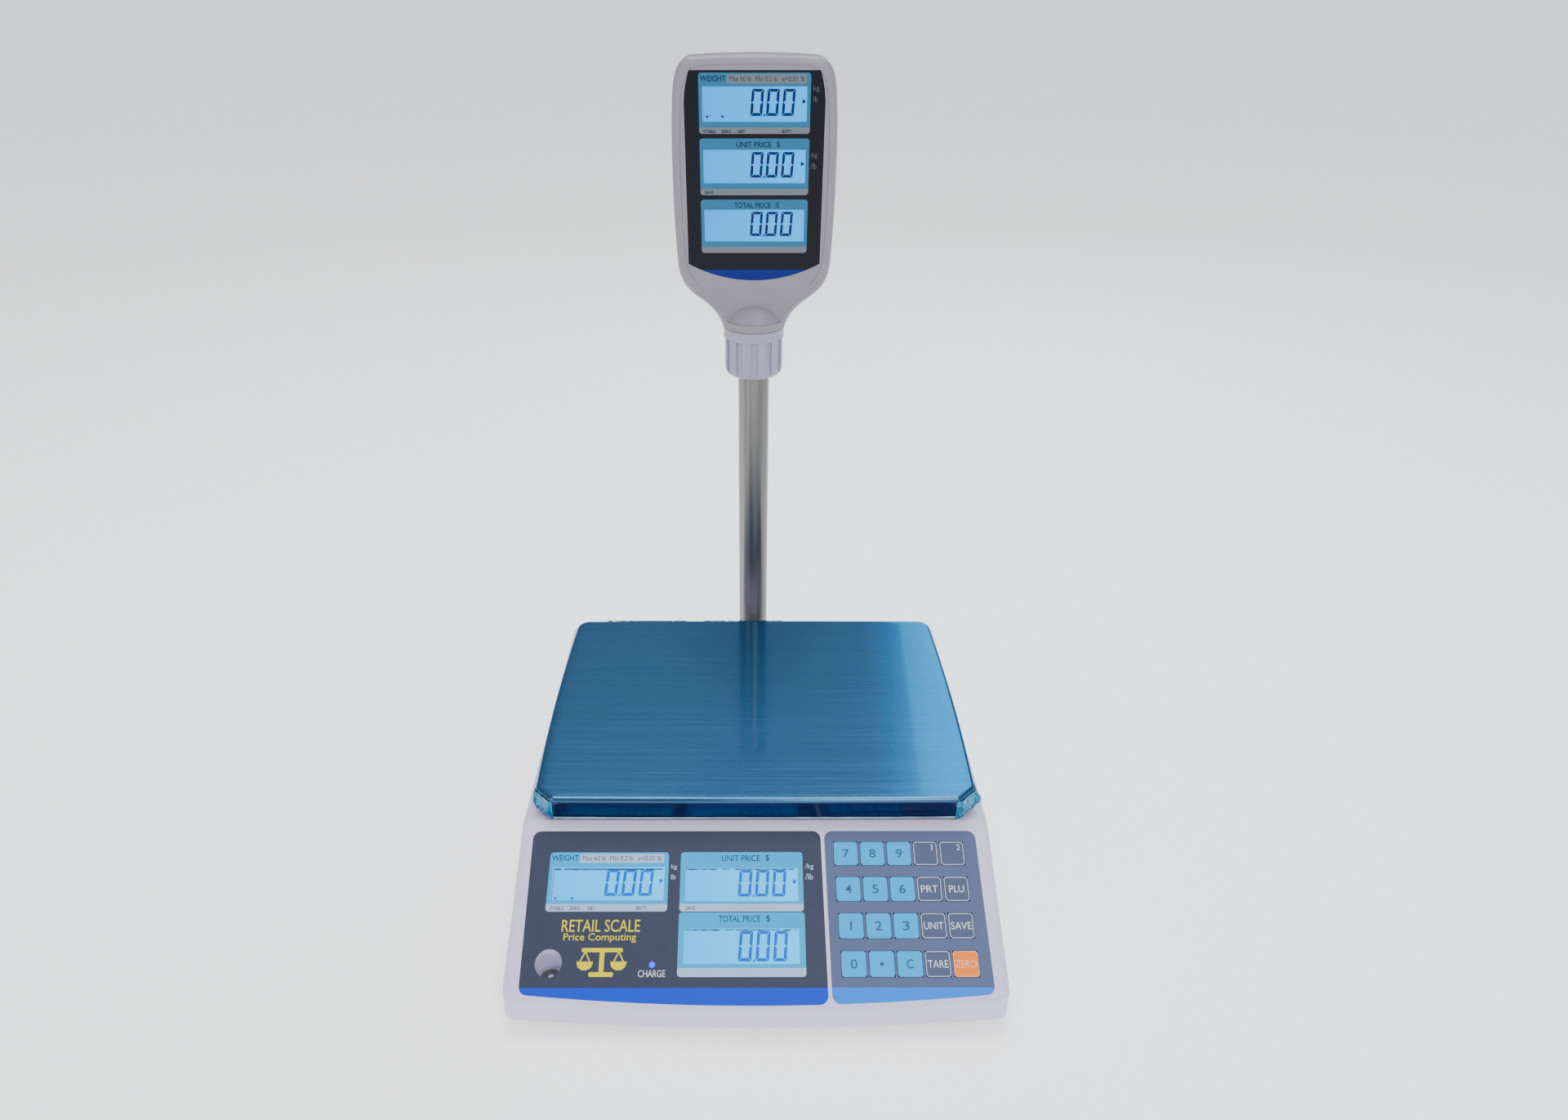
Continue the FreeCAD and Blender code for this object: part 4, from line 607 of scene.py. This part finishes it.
# a plain pair of scales: beam, column, foot and two pans
mark = bmesh.new()
MARK_X, MARK_Y = -108.0, -93.2
prism(mark, shifted([(-1.7, -6.5), (1.7, -6.5), (1.7, 6.8), (-1.7, 6.8)], MARK_X, MARK_Y), *PRINT)
prism(mark, shifted(round_rect(-8.5, -9.6, 8.5, -6.6, 1.0), MARK_X, MARK_Y), *PRINT)
prism(mark, shifted(round_rect(-14.5, 6.6, 14.5, 9.4, 1.2), MARK_X, MARK_Y), *PRINT)
for side in (-1, 1):
    pan = [(side * 6.2, 0.4)] + [
        (side * 11.8 - 5.6 * math.cos(math.pi * i / 12), -0.4 - 5.0 * math.sin(math.pi * i / 12))
        for i in range(13)] + [(side * 17.4, 0.4)]
    prism(mark, shifted(pan if side > 0 else [(-17.4, 0.4)] + pan[1:-1] + [(-6.2, 0.4)],
                        MARK_X, MARK_Y), *PRINT)
    for lean in (-3.4, 3.4):
        a = (side * 11.8, 7.0)
        b = (side * 11.8 + lean, 0.3)
        prism(mark, shifted([(a[0] - 0.5, a[1]), (b[0] - 0.5, b[1]), (b[0] + 0.5, b[1]),
                             (a[0] + 0.5, a[1])], MARK_X, MARK_Y), *PRINT)
piece("balance_mark", mark, PANEL, yellow, "base")

# ---- Keys ---------------------------------------------------------------------------------------

NUMERALS = {"seven": "7", "eight": "8", "nine": "9", "four": "4", "five": "5", "six": "6",
            "one": "1", "two": "2", "three": "3", "zero": "0", "clear": "C"}
FUNCTIONS = {"print": ("PRT", 12.3), "lookup": ("PLU", 10.9), "unit": ("UNIT", 13.9),
             "save": ("SAVE", 14.6), "tare": ("TARE", 14.2), "zero_set": ("ZERO", 14.8)}
KEY_HALF_W, KEY_HALF_H = 8.7, 8.5
# how far in from the key's edge the printed outline's outer and inner edges are, and their radii
KEY_OUTLINE = ((0.12, 2.0), (0.52, 1.6))
MEMORY_X = 5.0
KEY_TOP = 0.3
on_key = (KEY_TOP - 0.02, KEY_TOP + 0.035)
for key in BLUE_KEYS + DARK_KEYS + ("zero_set",):
    at = on(PANEL, "key_" + key)
    x, y = at.x, at.y
    label = bmesh.new()
    if key in NUMERALS:
        wide = 0.6 if key == "one" else 2.4
        word(label, NUMERALS[key], x - wide, y - 3.1, x + wide, y + 3.1, on_key, 0.008)
        ink_used, slot_used = slate, "key_blue"
    elif key == "point":
        prism(label, round_rect(x - 1.2, y - 1.2, x + 1.2, y + 1.2, 0.15), *on_key)
        ink_used, slot_used = slate, "key_blue"
    else:
        ink_used = salmon if key == "zero_set" else bright
        slot_used = "key_orange" if key == "zero_set" else "key_dark"
        edges = [round_rect(x - KEY_HALF_W + inset, y - KEY_HALF_H + inset,
                            x + KEY_HALF_W - inset, y + KEY_HALF_H - inset, radius)
                 for inset, radius in KEY_OUTLINE]
        ring(label, *edges, *on_key)
        if key in FUNCTIONS:
            text, wide = FUNCTIONS[key]
            word(label, text, x - wide / 2, y - 2.45, x + wide / 2, y + 2.45, on_key)
        else:
            text = "1" if key == "memory_one" else "2"
            wide = 0.35 if key == "memory_one" else 1.35
            word(label, text, x + MEMORY_X - wide, y + 2.4, x + MEMORY_X + wide, y + 6.8, on_key)
    piece("label_" + key, label, PANEL, ink_used, "key_" + key)

# ---- Spirit level, screws and rocker -------------------------------------------------------------


def disc(bm, radius, low, high, steps=40):
    circle = [(radius * math.cos(2 * math.pi * i / steps),
               radius * math.sin(2 * math.pi * i / steps)) for i in range(steps)]
    prism(bm, circle, low, high)


def hoop(bm, outer, inner, low, high, steps=48):
    turns = [2 * math.pi * i / steps for i in range(steps)]
    ring(bm, [(outer * math.cos(a), outer * math.sin(a)) for a in turns],
         [(inner * math.cos(a), inner * math.sin(a)) for a in turns], low, high)


level_low, level_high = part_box("bubble_level")
VIAL = Matrix.Translation(((level_low.x + level_high.x) / 2, (level_low.y + level_high.y) / 2,
                           level_high.z)) @ Matrix.Scale(MM, 4)
vial_rad = (level_high.x - level_low.x) / 2 / MM
bezel = bmesh.new()
hoop(bezel, vial_rad - 0.2, vial_rad - 1.7, -1.6, 0.5)
hoop(bezel, vial_rad - 1.9, vial_rad - 2.3, -0.2, 0.3)
piece("level_bezel", bezel, VIAL, steel, "base")
liquid = bmesh.new()
disc(liquid, vial_rad - 2.2, -0.6, 0.06)
piece("level_glass", liquid, VIAL, vial_dark, "base")
target = bmesh.new()
hoop(target, 3.1, 2.7, 0.02, 0.14)
piece("level_target", target, VIAL, ink_and_painted_shade, "base")
bubble = bmesh.new()
BUBBLE_RAD, BUBBLE_AT, BUBBLE_FLAT = 1.9, (0.5, 0.7, 0.1), 0.2
bmesh.ops.create_uvsphere(bubble, u_segments=24, v_segments=12, radius=BUBBLE_RAD,
                          matrix=(Matrix.Translation(BUBBLE_AT)
                                  @ Matrix.Diagonal((1, 1, BUBBLE_FLAT, 1))))
piece("level_bubble", bubble, VIAL, vial, "base")


def cross_recesses(name, node, body, head_rad):
    """A cross of painted shade in each of the four outermost screw heads of a group, where the
    recess is, seen from behind.
    """
    low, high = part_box(node)
    cross = bmesh.new()
    arm, half = 0.55 * head_rad, 0.16 * head_rad
    for x in (low.x / MM + head_rad, high.x / MM - head_rad):
        for z in (low.z / MM + head_rad, high.z / MM - head_rad):
            outline = [(arm, half), (half, half), (half, arm), (-half, arm), (-half, half),
                       (-arm, half), (-arm, -half), (-half, -half), (-half, -arm), (half, -arm),
                       (half, -half), (arm, -half)]
            prism(cross, shifted(outline, -x, z), -0.02, 0.03)
    behind = (Matrix.Translation((0, high.y, 0)) @ Matrix.Rotation(math.pi, 4, "Z")
              @ Matrix.Rotation(math.pi / 2, 4, "X") @ Matrix.Scale(MM, 4))
    piece(name, cross, behind, ink_and_painted_shade, body)


# the crosses in the head's screws are painted shade of their recesses
HEAD_SCREW_RAD = 3.2
cross_recesses("head_screw_crosses", "head_screws", "head", HEAD_SCREW_RAD)

# the rocker's two faces carry a bar and a ring
rocker = nodes["power_rocker"].data
faces = sorted((f for f in rocker.polygons if f.normal.y > 0.8), key=lambda f: -f.area)
rocker_low, rocker_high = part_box("power_rocker")
middle_z = (rocker_low.z + rocker_high.z) / 2
for name, upper in (("bar", True), ("ring", False)):
    side = [f for f in faces if (f.center.z > middle_z) == upper]
    normal = side[0].normal
    centre = sum((f.center * f.area for f in side), Vector()) / sum(f.area for f in side)
    up = (Vector((0, 0, 1)) - normal * normal.z).normalized()
    turn = Matrix((up.cross(normal), up, normal)).transposed().to_4x4()
    mark = bmesh.new()
    if name == "bar":
        prism(mark, round_rect(-0.35, -2.0, 0.35, 2.0, 0.2), -0.02, 0.05)
    else:
        hoop(mark, 1.8, 1.2, -0.02, 0.05)
    piece("rocker_" + name, mark, Matrix.Translation(centre) @ turn @ Matrix.Scale(MM, 4), bright,
          "rocker")

# ---- Blue film over the tray --------------------------------------------------------------------

film_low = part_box("pan_film")[0]
pan_low, pan_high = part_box("weighing_pan")
FILM_GAP = 0.00012
FILM_T = 0.00008
RIM_RAD = 0.003
# the film's rings of points, as shares of the way from its middle to its edge
FILM_RINGS = (0.06, 0.18, 0.32, 0.46, 0.60, 0.72, 0.82, 0.90, 0.96)
# where the front corners crease, in from the tray's sides, and how far the creases spread
CREASE_IN = 0.006
CREASE_SPREAD = 0.0003
# where along a shred its flap stands out, and how wide the flap is, as shares of its length
FLAP_AT, FLAP_W = 0.72, 0.10
IN_METRES = Matrix.Identity(4)


def tray_outline(grow, step=0.004):
    """The tray's outline, corner first, as points about its middle and the outward direction."""
    half_w = (pan_high.x - pan_low.x) / 2
    half_d = (pan_high.y - pan_low.y) / 2
    bow_x, bow_y = 0.003, 0.001
    side, end = half_w - bow_x, half_d - bow_y
    facet, facet_rad, corner_rad, arc_steps = 0.013, 0.006, 0.010, 12
    corners = [((side, -end + facet), facet_rad), ((side, end), corner_rad),
               ((-side, end), corner_rad), ((-side, -end + facet), facet_rad),
               ((-side + facet, -end), facet_rad), ((side - facet, -end), facet_rad)]
    corners = [(Vector(place), radius) for place, radius in corners]

    def reach(i):
        """The corner's two directions, and how far its rounding reaches along them."""
        here, radius = corners[i]
        before = (corners[i - 1][0] - here).normalized()
        after = (corners[(i + 1) % len(corners)][0] - here).normalized()
        half = before.angle(after) / 2
        return before, after, radius / math.tan(half), radius / math.sin(half)

    points = []
    for i, (here, radius) in enumerate(corners):
        before, after, tangent, away = reach(i)
        start, stop = here + before * tangent, here + after * tangent
        middle = here + (before + after).normalized() * away
        for k in range(arc_steps + 1):
            p = start.lerp(stop, k / arc_steps) - middle
            points.append(middle + p.normalized() * radius)
        following = (i + 1) % len(corners)
        nxt = corners[following][0]
        far = nxt + (here - nxt).normalized() * reach(following)[2]
        count = max(1, int((far - stop).length / step))
        points += [stop.lerp(far, k / count) for k in range(1, count)]
    shaped = []
    for p in points:
        x = p.x + math.copysign(bow_x, p.x) * (1 - (p.y / end) ** 2) * min(1, abs(p.x) / side)
        y = p.y + math.copysign(bow_y, p.y) * (1 - (p.x / side) ** 2) * min(1, abs(p.y) / end)
        shaped.append(Vector((x, y)))
    out = []
    for i, p in enumerate(shaped):
        along = (shaped[(i + 1) % len(shaped)] - shaped[i - 1]).normalized()
        normal = Vector((along.y, -along.x))
        out.append((p + normal * grow, normal))
    return out


def tray_film():
    """The film as one thin sheet: flat on top, over the edge, down the skirt, creased at the
    front corners and pulled a little loose along its low edge."""
    middle = (pan_low + pan_high) / 2
    rim = tray_outline(FILM_GAP)
    top = pan_high.z + FILM_GAP
    round_off = RIM_RAD + FILM_GAP
    rows = []
    for share in FILM_RINGS:
        rows.append([(p - n * round_off) * share for p, n in rim])
    bm = bmesh.new()
    loops = [[bm.verts.new((middle.x + p.x, middle.y + p.y, top)) for p in row] for row in rows]
    profile = [(round_off * math.sin(a), round_off * (1 - math.cos(a)))
               for a in [math.pi / 2 * k / 6 for k in range(7)]]
    skirt = top - film_low.z
    profile += [(round_off, round_off + (skirt - round_off) * k / 8) for k in range(1, 9)]
    front_y = -(pan_high.y - pan_low.y) / 2
    half_w = (pan_high.x - pan_low.x) / 2
    for across, down in profile:
        loop = []
        for p, n in rim:
            x, y = p.x, p.y
            low_share = max(0.0, (down - round_off) / (skirt - round_off))
            behind = (y - front_y - CREASE_IN) ** 2
            left = math.exp(-((x + half_w - CREASE_IN) ** 2 + behind) / CREASE_SPREAD)
            right = math.exp(-((x - half_w + CREASE_IN) ** 2 + behind) / CREASE_SPREAD)
            crease = noise.noise(Vector((x * 420, y * 420, down * 260)))
            wave = noise.noise(Vector((x * 60, y * 60, 3.0)))
            loose = (left + right) * low_share * (0.0003 + 0.0005 * max(0, crease + 0.25))
            loose += low_share ** 3 * 0.0004 * max(0, wave)
            push = across - round_off + loose
            droop = 0.0004 * low_share ** 4 * noise.noise(Vector((x * 900, y * 900, 9.0)))
            loop.append(bm.verts.new((middle.x + x + n.x * push, middle.y + y + n.y * push,
                                      top - down + droop)))
        loops.append(loop)
    centre = bm.verts.new((middle.x, middle.y, top))
    count = len(rim)
    for i in range(count):
        j = (i + 1) % count
        bm.faces.new((centre, loops[0][i], loops[0][j]))
        for a, b in zip(loops, loops[1:]):
            bm.faces.new((a[i], b[i], b[j], a[j]))
    bmesh.ops.recalc_face_normals(bm, faces=bm.faces)
    mesh = bpy.data.meshes.new("tray_film")
    bm.to_mesh(mesh)
    bm.free()
    obj = finished("tray_film", mesh, film_blue, "tray")
    thick = obj.modifiers.new("thick", "SOLIDIFY")
    thick.thickness = FILM_T
    thick.offset = -1.0 if mesh.polygons[0].normal.z > 0 else 1.0
    for face in mesh.polygons:
        face.use_smooth = True
    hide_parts("pan_film")


def film_shred(bm, run, high, low, proud, crumple, seed, flap=0.0):
    """A crumpled shred of film along part of the tray's rim, as a closed form. Its low edge is
    ragged, and where a flap is given it stands out from the last third."""
    middle = (pan_low + pan_high) / 2
    rows = 8
    outside, inside = [], []
    for k, (p, n) in enumerate(run):
        along = k / (len(run) - 1)
        ragged = 0.0011 * noise.noise(Vector((k * 0.55, seed, 0)))
        for skin, lift in ((outside, proud), (inside, 0.0)):
            column = []
            for r in range(rows):
                down = r / (rows - 1)
                fold = crumple * max(0.0, noise.noise(Vector((k * 0.45, down * 2.6, seed))) + 0.2)
                bulge = flap * math.exp(-((along - FLAP_AT) / FLAP_W) ** 2)
                fold += bulge * math.sin(math.pi * down) ** 2
                away = fold * min(1.0, 4 * along, 4 * (1 - along)) + lift * min(1.0, 3 * down + 0.3)
                z = high + (low + ragged - high) * down
                column.append(bm.verts.new((middle.x + p.x + n.x * away,
                                            middle.y + p.y + n.y * away, z)))
            skin.append(column)
    for skin in (outside, inside):
        for a, b in zip(skin, skin[1:]):
            for r in range(rows - 1):
                bm.faces.new((a[r], a[r + 1], b[r + 1], b[r]))
    for a, b, c, d in zip(outside, outside[1:], inside, inside[1:]):
        bm.faces.new((a[0], b[0], d[0], c[0]))
        bm.faces.new((a[-1], c[-1], d[-1], b[-1]))
    for k in (0, -1):
        for r in range(rows - 1):
            bm.faces.new((outside[k][r], outside[k][r + 1], inside[k][r + 1], inside[k][r]))


def front_run(low_x, high_x, depth):
    """The points of the rim near its front, from left to right."""
    half_d = (pan_high.y - pan_low.y) / 2
    points = [(p, n) for p, n in tray_outline(FILM_GAP * 3, 0.0016)
              if low_x < p.x < high_x and p.y < -half_d + depth]
    return sorted(points, key=lambda item: item[0].x + (item[0].y if item[0].x > 0 else -item[0].y))


tray_film()
rim_w = (pan_high.x - pan_low.x) / 2
# crumpled film at the front corners, coloured a lighter cyan as a painted reflection
corners_form = bmesh.new()
film_shred(corners_form, front_run(rim_w - 0.019, 1.0, 0.022), high=pan_high.z - 0.0024,
           low=film_low.z - 0.0012, proud=0.0007, crumple=0.0016, seed=3.0, flap=0.0046)
film_shred(corners_form, front_run(-1.0, -rim_w + 0.017, 0.018)[::-1], high=pan_high.z - 0.0024,
           low=film_low.z - 0.0016, proud=0.0007, crumple=0.0018, seed=8.0, flap=0.0020)
piece("film_corners", corners_form, IN_METRES, shred_painted_reflection, "tray", MERGE_METRES)
hem_form = bmesh.new()
film_shred(hem_form, front_run(-rim_w + 0.016, rim_w - 0.016, 0.006), high=film_low.z + 0.0007,
           low=film_low.z - 0.0002, proud=0.0001, crumple=0.0003, seed=5.0)
piece("film_hem", hem_form, IN_METRES, hem_film, "tray", MERGE_METRES)

# ---- Light, floor and camera --------------------------------------------------------------------


def area(name, at, target, size, size_y, power, colour=(1, 1, 1)):
    light = bpy.data.lights.new(name, "AREA")
    light.shape = "RECTANGLE"
    light.size, light.size_y = size, size_y
    light.energy = power
    light.color = colour
    obj = bpy.data.objects.new(name, light)
    bpy.context.scene.collection.objects.link(obj)
    obj.location = at
    obj.rotation_euler = (Vector(target) - Vector(at)).to_track_quat("-Z", "Y").to_euler()


# name, place, what it points at, width, height, power and colour
area("key", (0.9, -2.1, 2.3), (0, -0.1, 0.1), 1.8, 1.4, 50)
area("fill", (-1.6, -1.4, 1.3), (0, 0, 0.15), 1.2, 1.2, 12)
area("window", (0.66, 1.3, 1.25), (0.86, 0, 0.115), 0.50, 1.3, 9.5, (0.0, 0.70, 1.0))
area("top", (0.0, 0.45, 2.4), (0, 0.1, 0), 1.6, 1.0, 44)

SKY, SKY_STRENGTH = (0.80, 0.86, 0.95, 1), 0.60
world = bpy.data.worlds.new("studio")
world.use_nodes = True
world.node_tree.nodes["Background"].inputs["Color"].default_value = SKY
world.node_tree.nodes["Background"].inputs["Strength"].default_value = SKY_STRENGTH
bpy.context.scene.world = world

FLOOR_REACH = 120.0
FLOOR_DROP = 0.0005
FLOOR_GLOW = 0.8
floor_mesh = bpy.data.meshes.new("floor")
floor_mesh.from_pydata([(x * FLOOR_REACH, y * FLOOR_REACH, 0)
                        for x, y in ((-1, -1), (1, -1), (1, 1), (-1, 1))], [], [(0, 1, 2, 3)])
floor = bpy.data.objects.new("floor", floor_mesh)
bpy.context.scene.collection.objects.link(floor)
paper = make("floor_paper", (0.93, 0.93, 0.93), 0.9, grain=40, vary=0.004, bump=0.0)
lamp(paper, (1, 1, 1), FLOOR_GLOW)
floor_mesh.materials.append(paper)
floor.location.z = cad_box[0].z - FLOOR_DROP

SENSOR_W, FOCAL, SHIFT_X = 36, 23.22, 0.0229
EYE = (-0.00613, -0.67993, 0.63575)
TILT, PAN = 60.5253, -0.07
lens = bpy.data.cameras.new("camera")
lens.sensor_width = SENSOR_W
lens.lens = FOCAL
lens.shift_x = SHIFT_X
camera = bpy.data.objects.new("camera", lens)
bpy.context.scene.collection.objects.link(camera)
camera.location = EYE
camera.rotation_euler = (math.radians(TILT), 0, math.radians(PAN))
bpy.context.scene.camera = camera
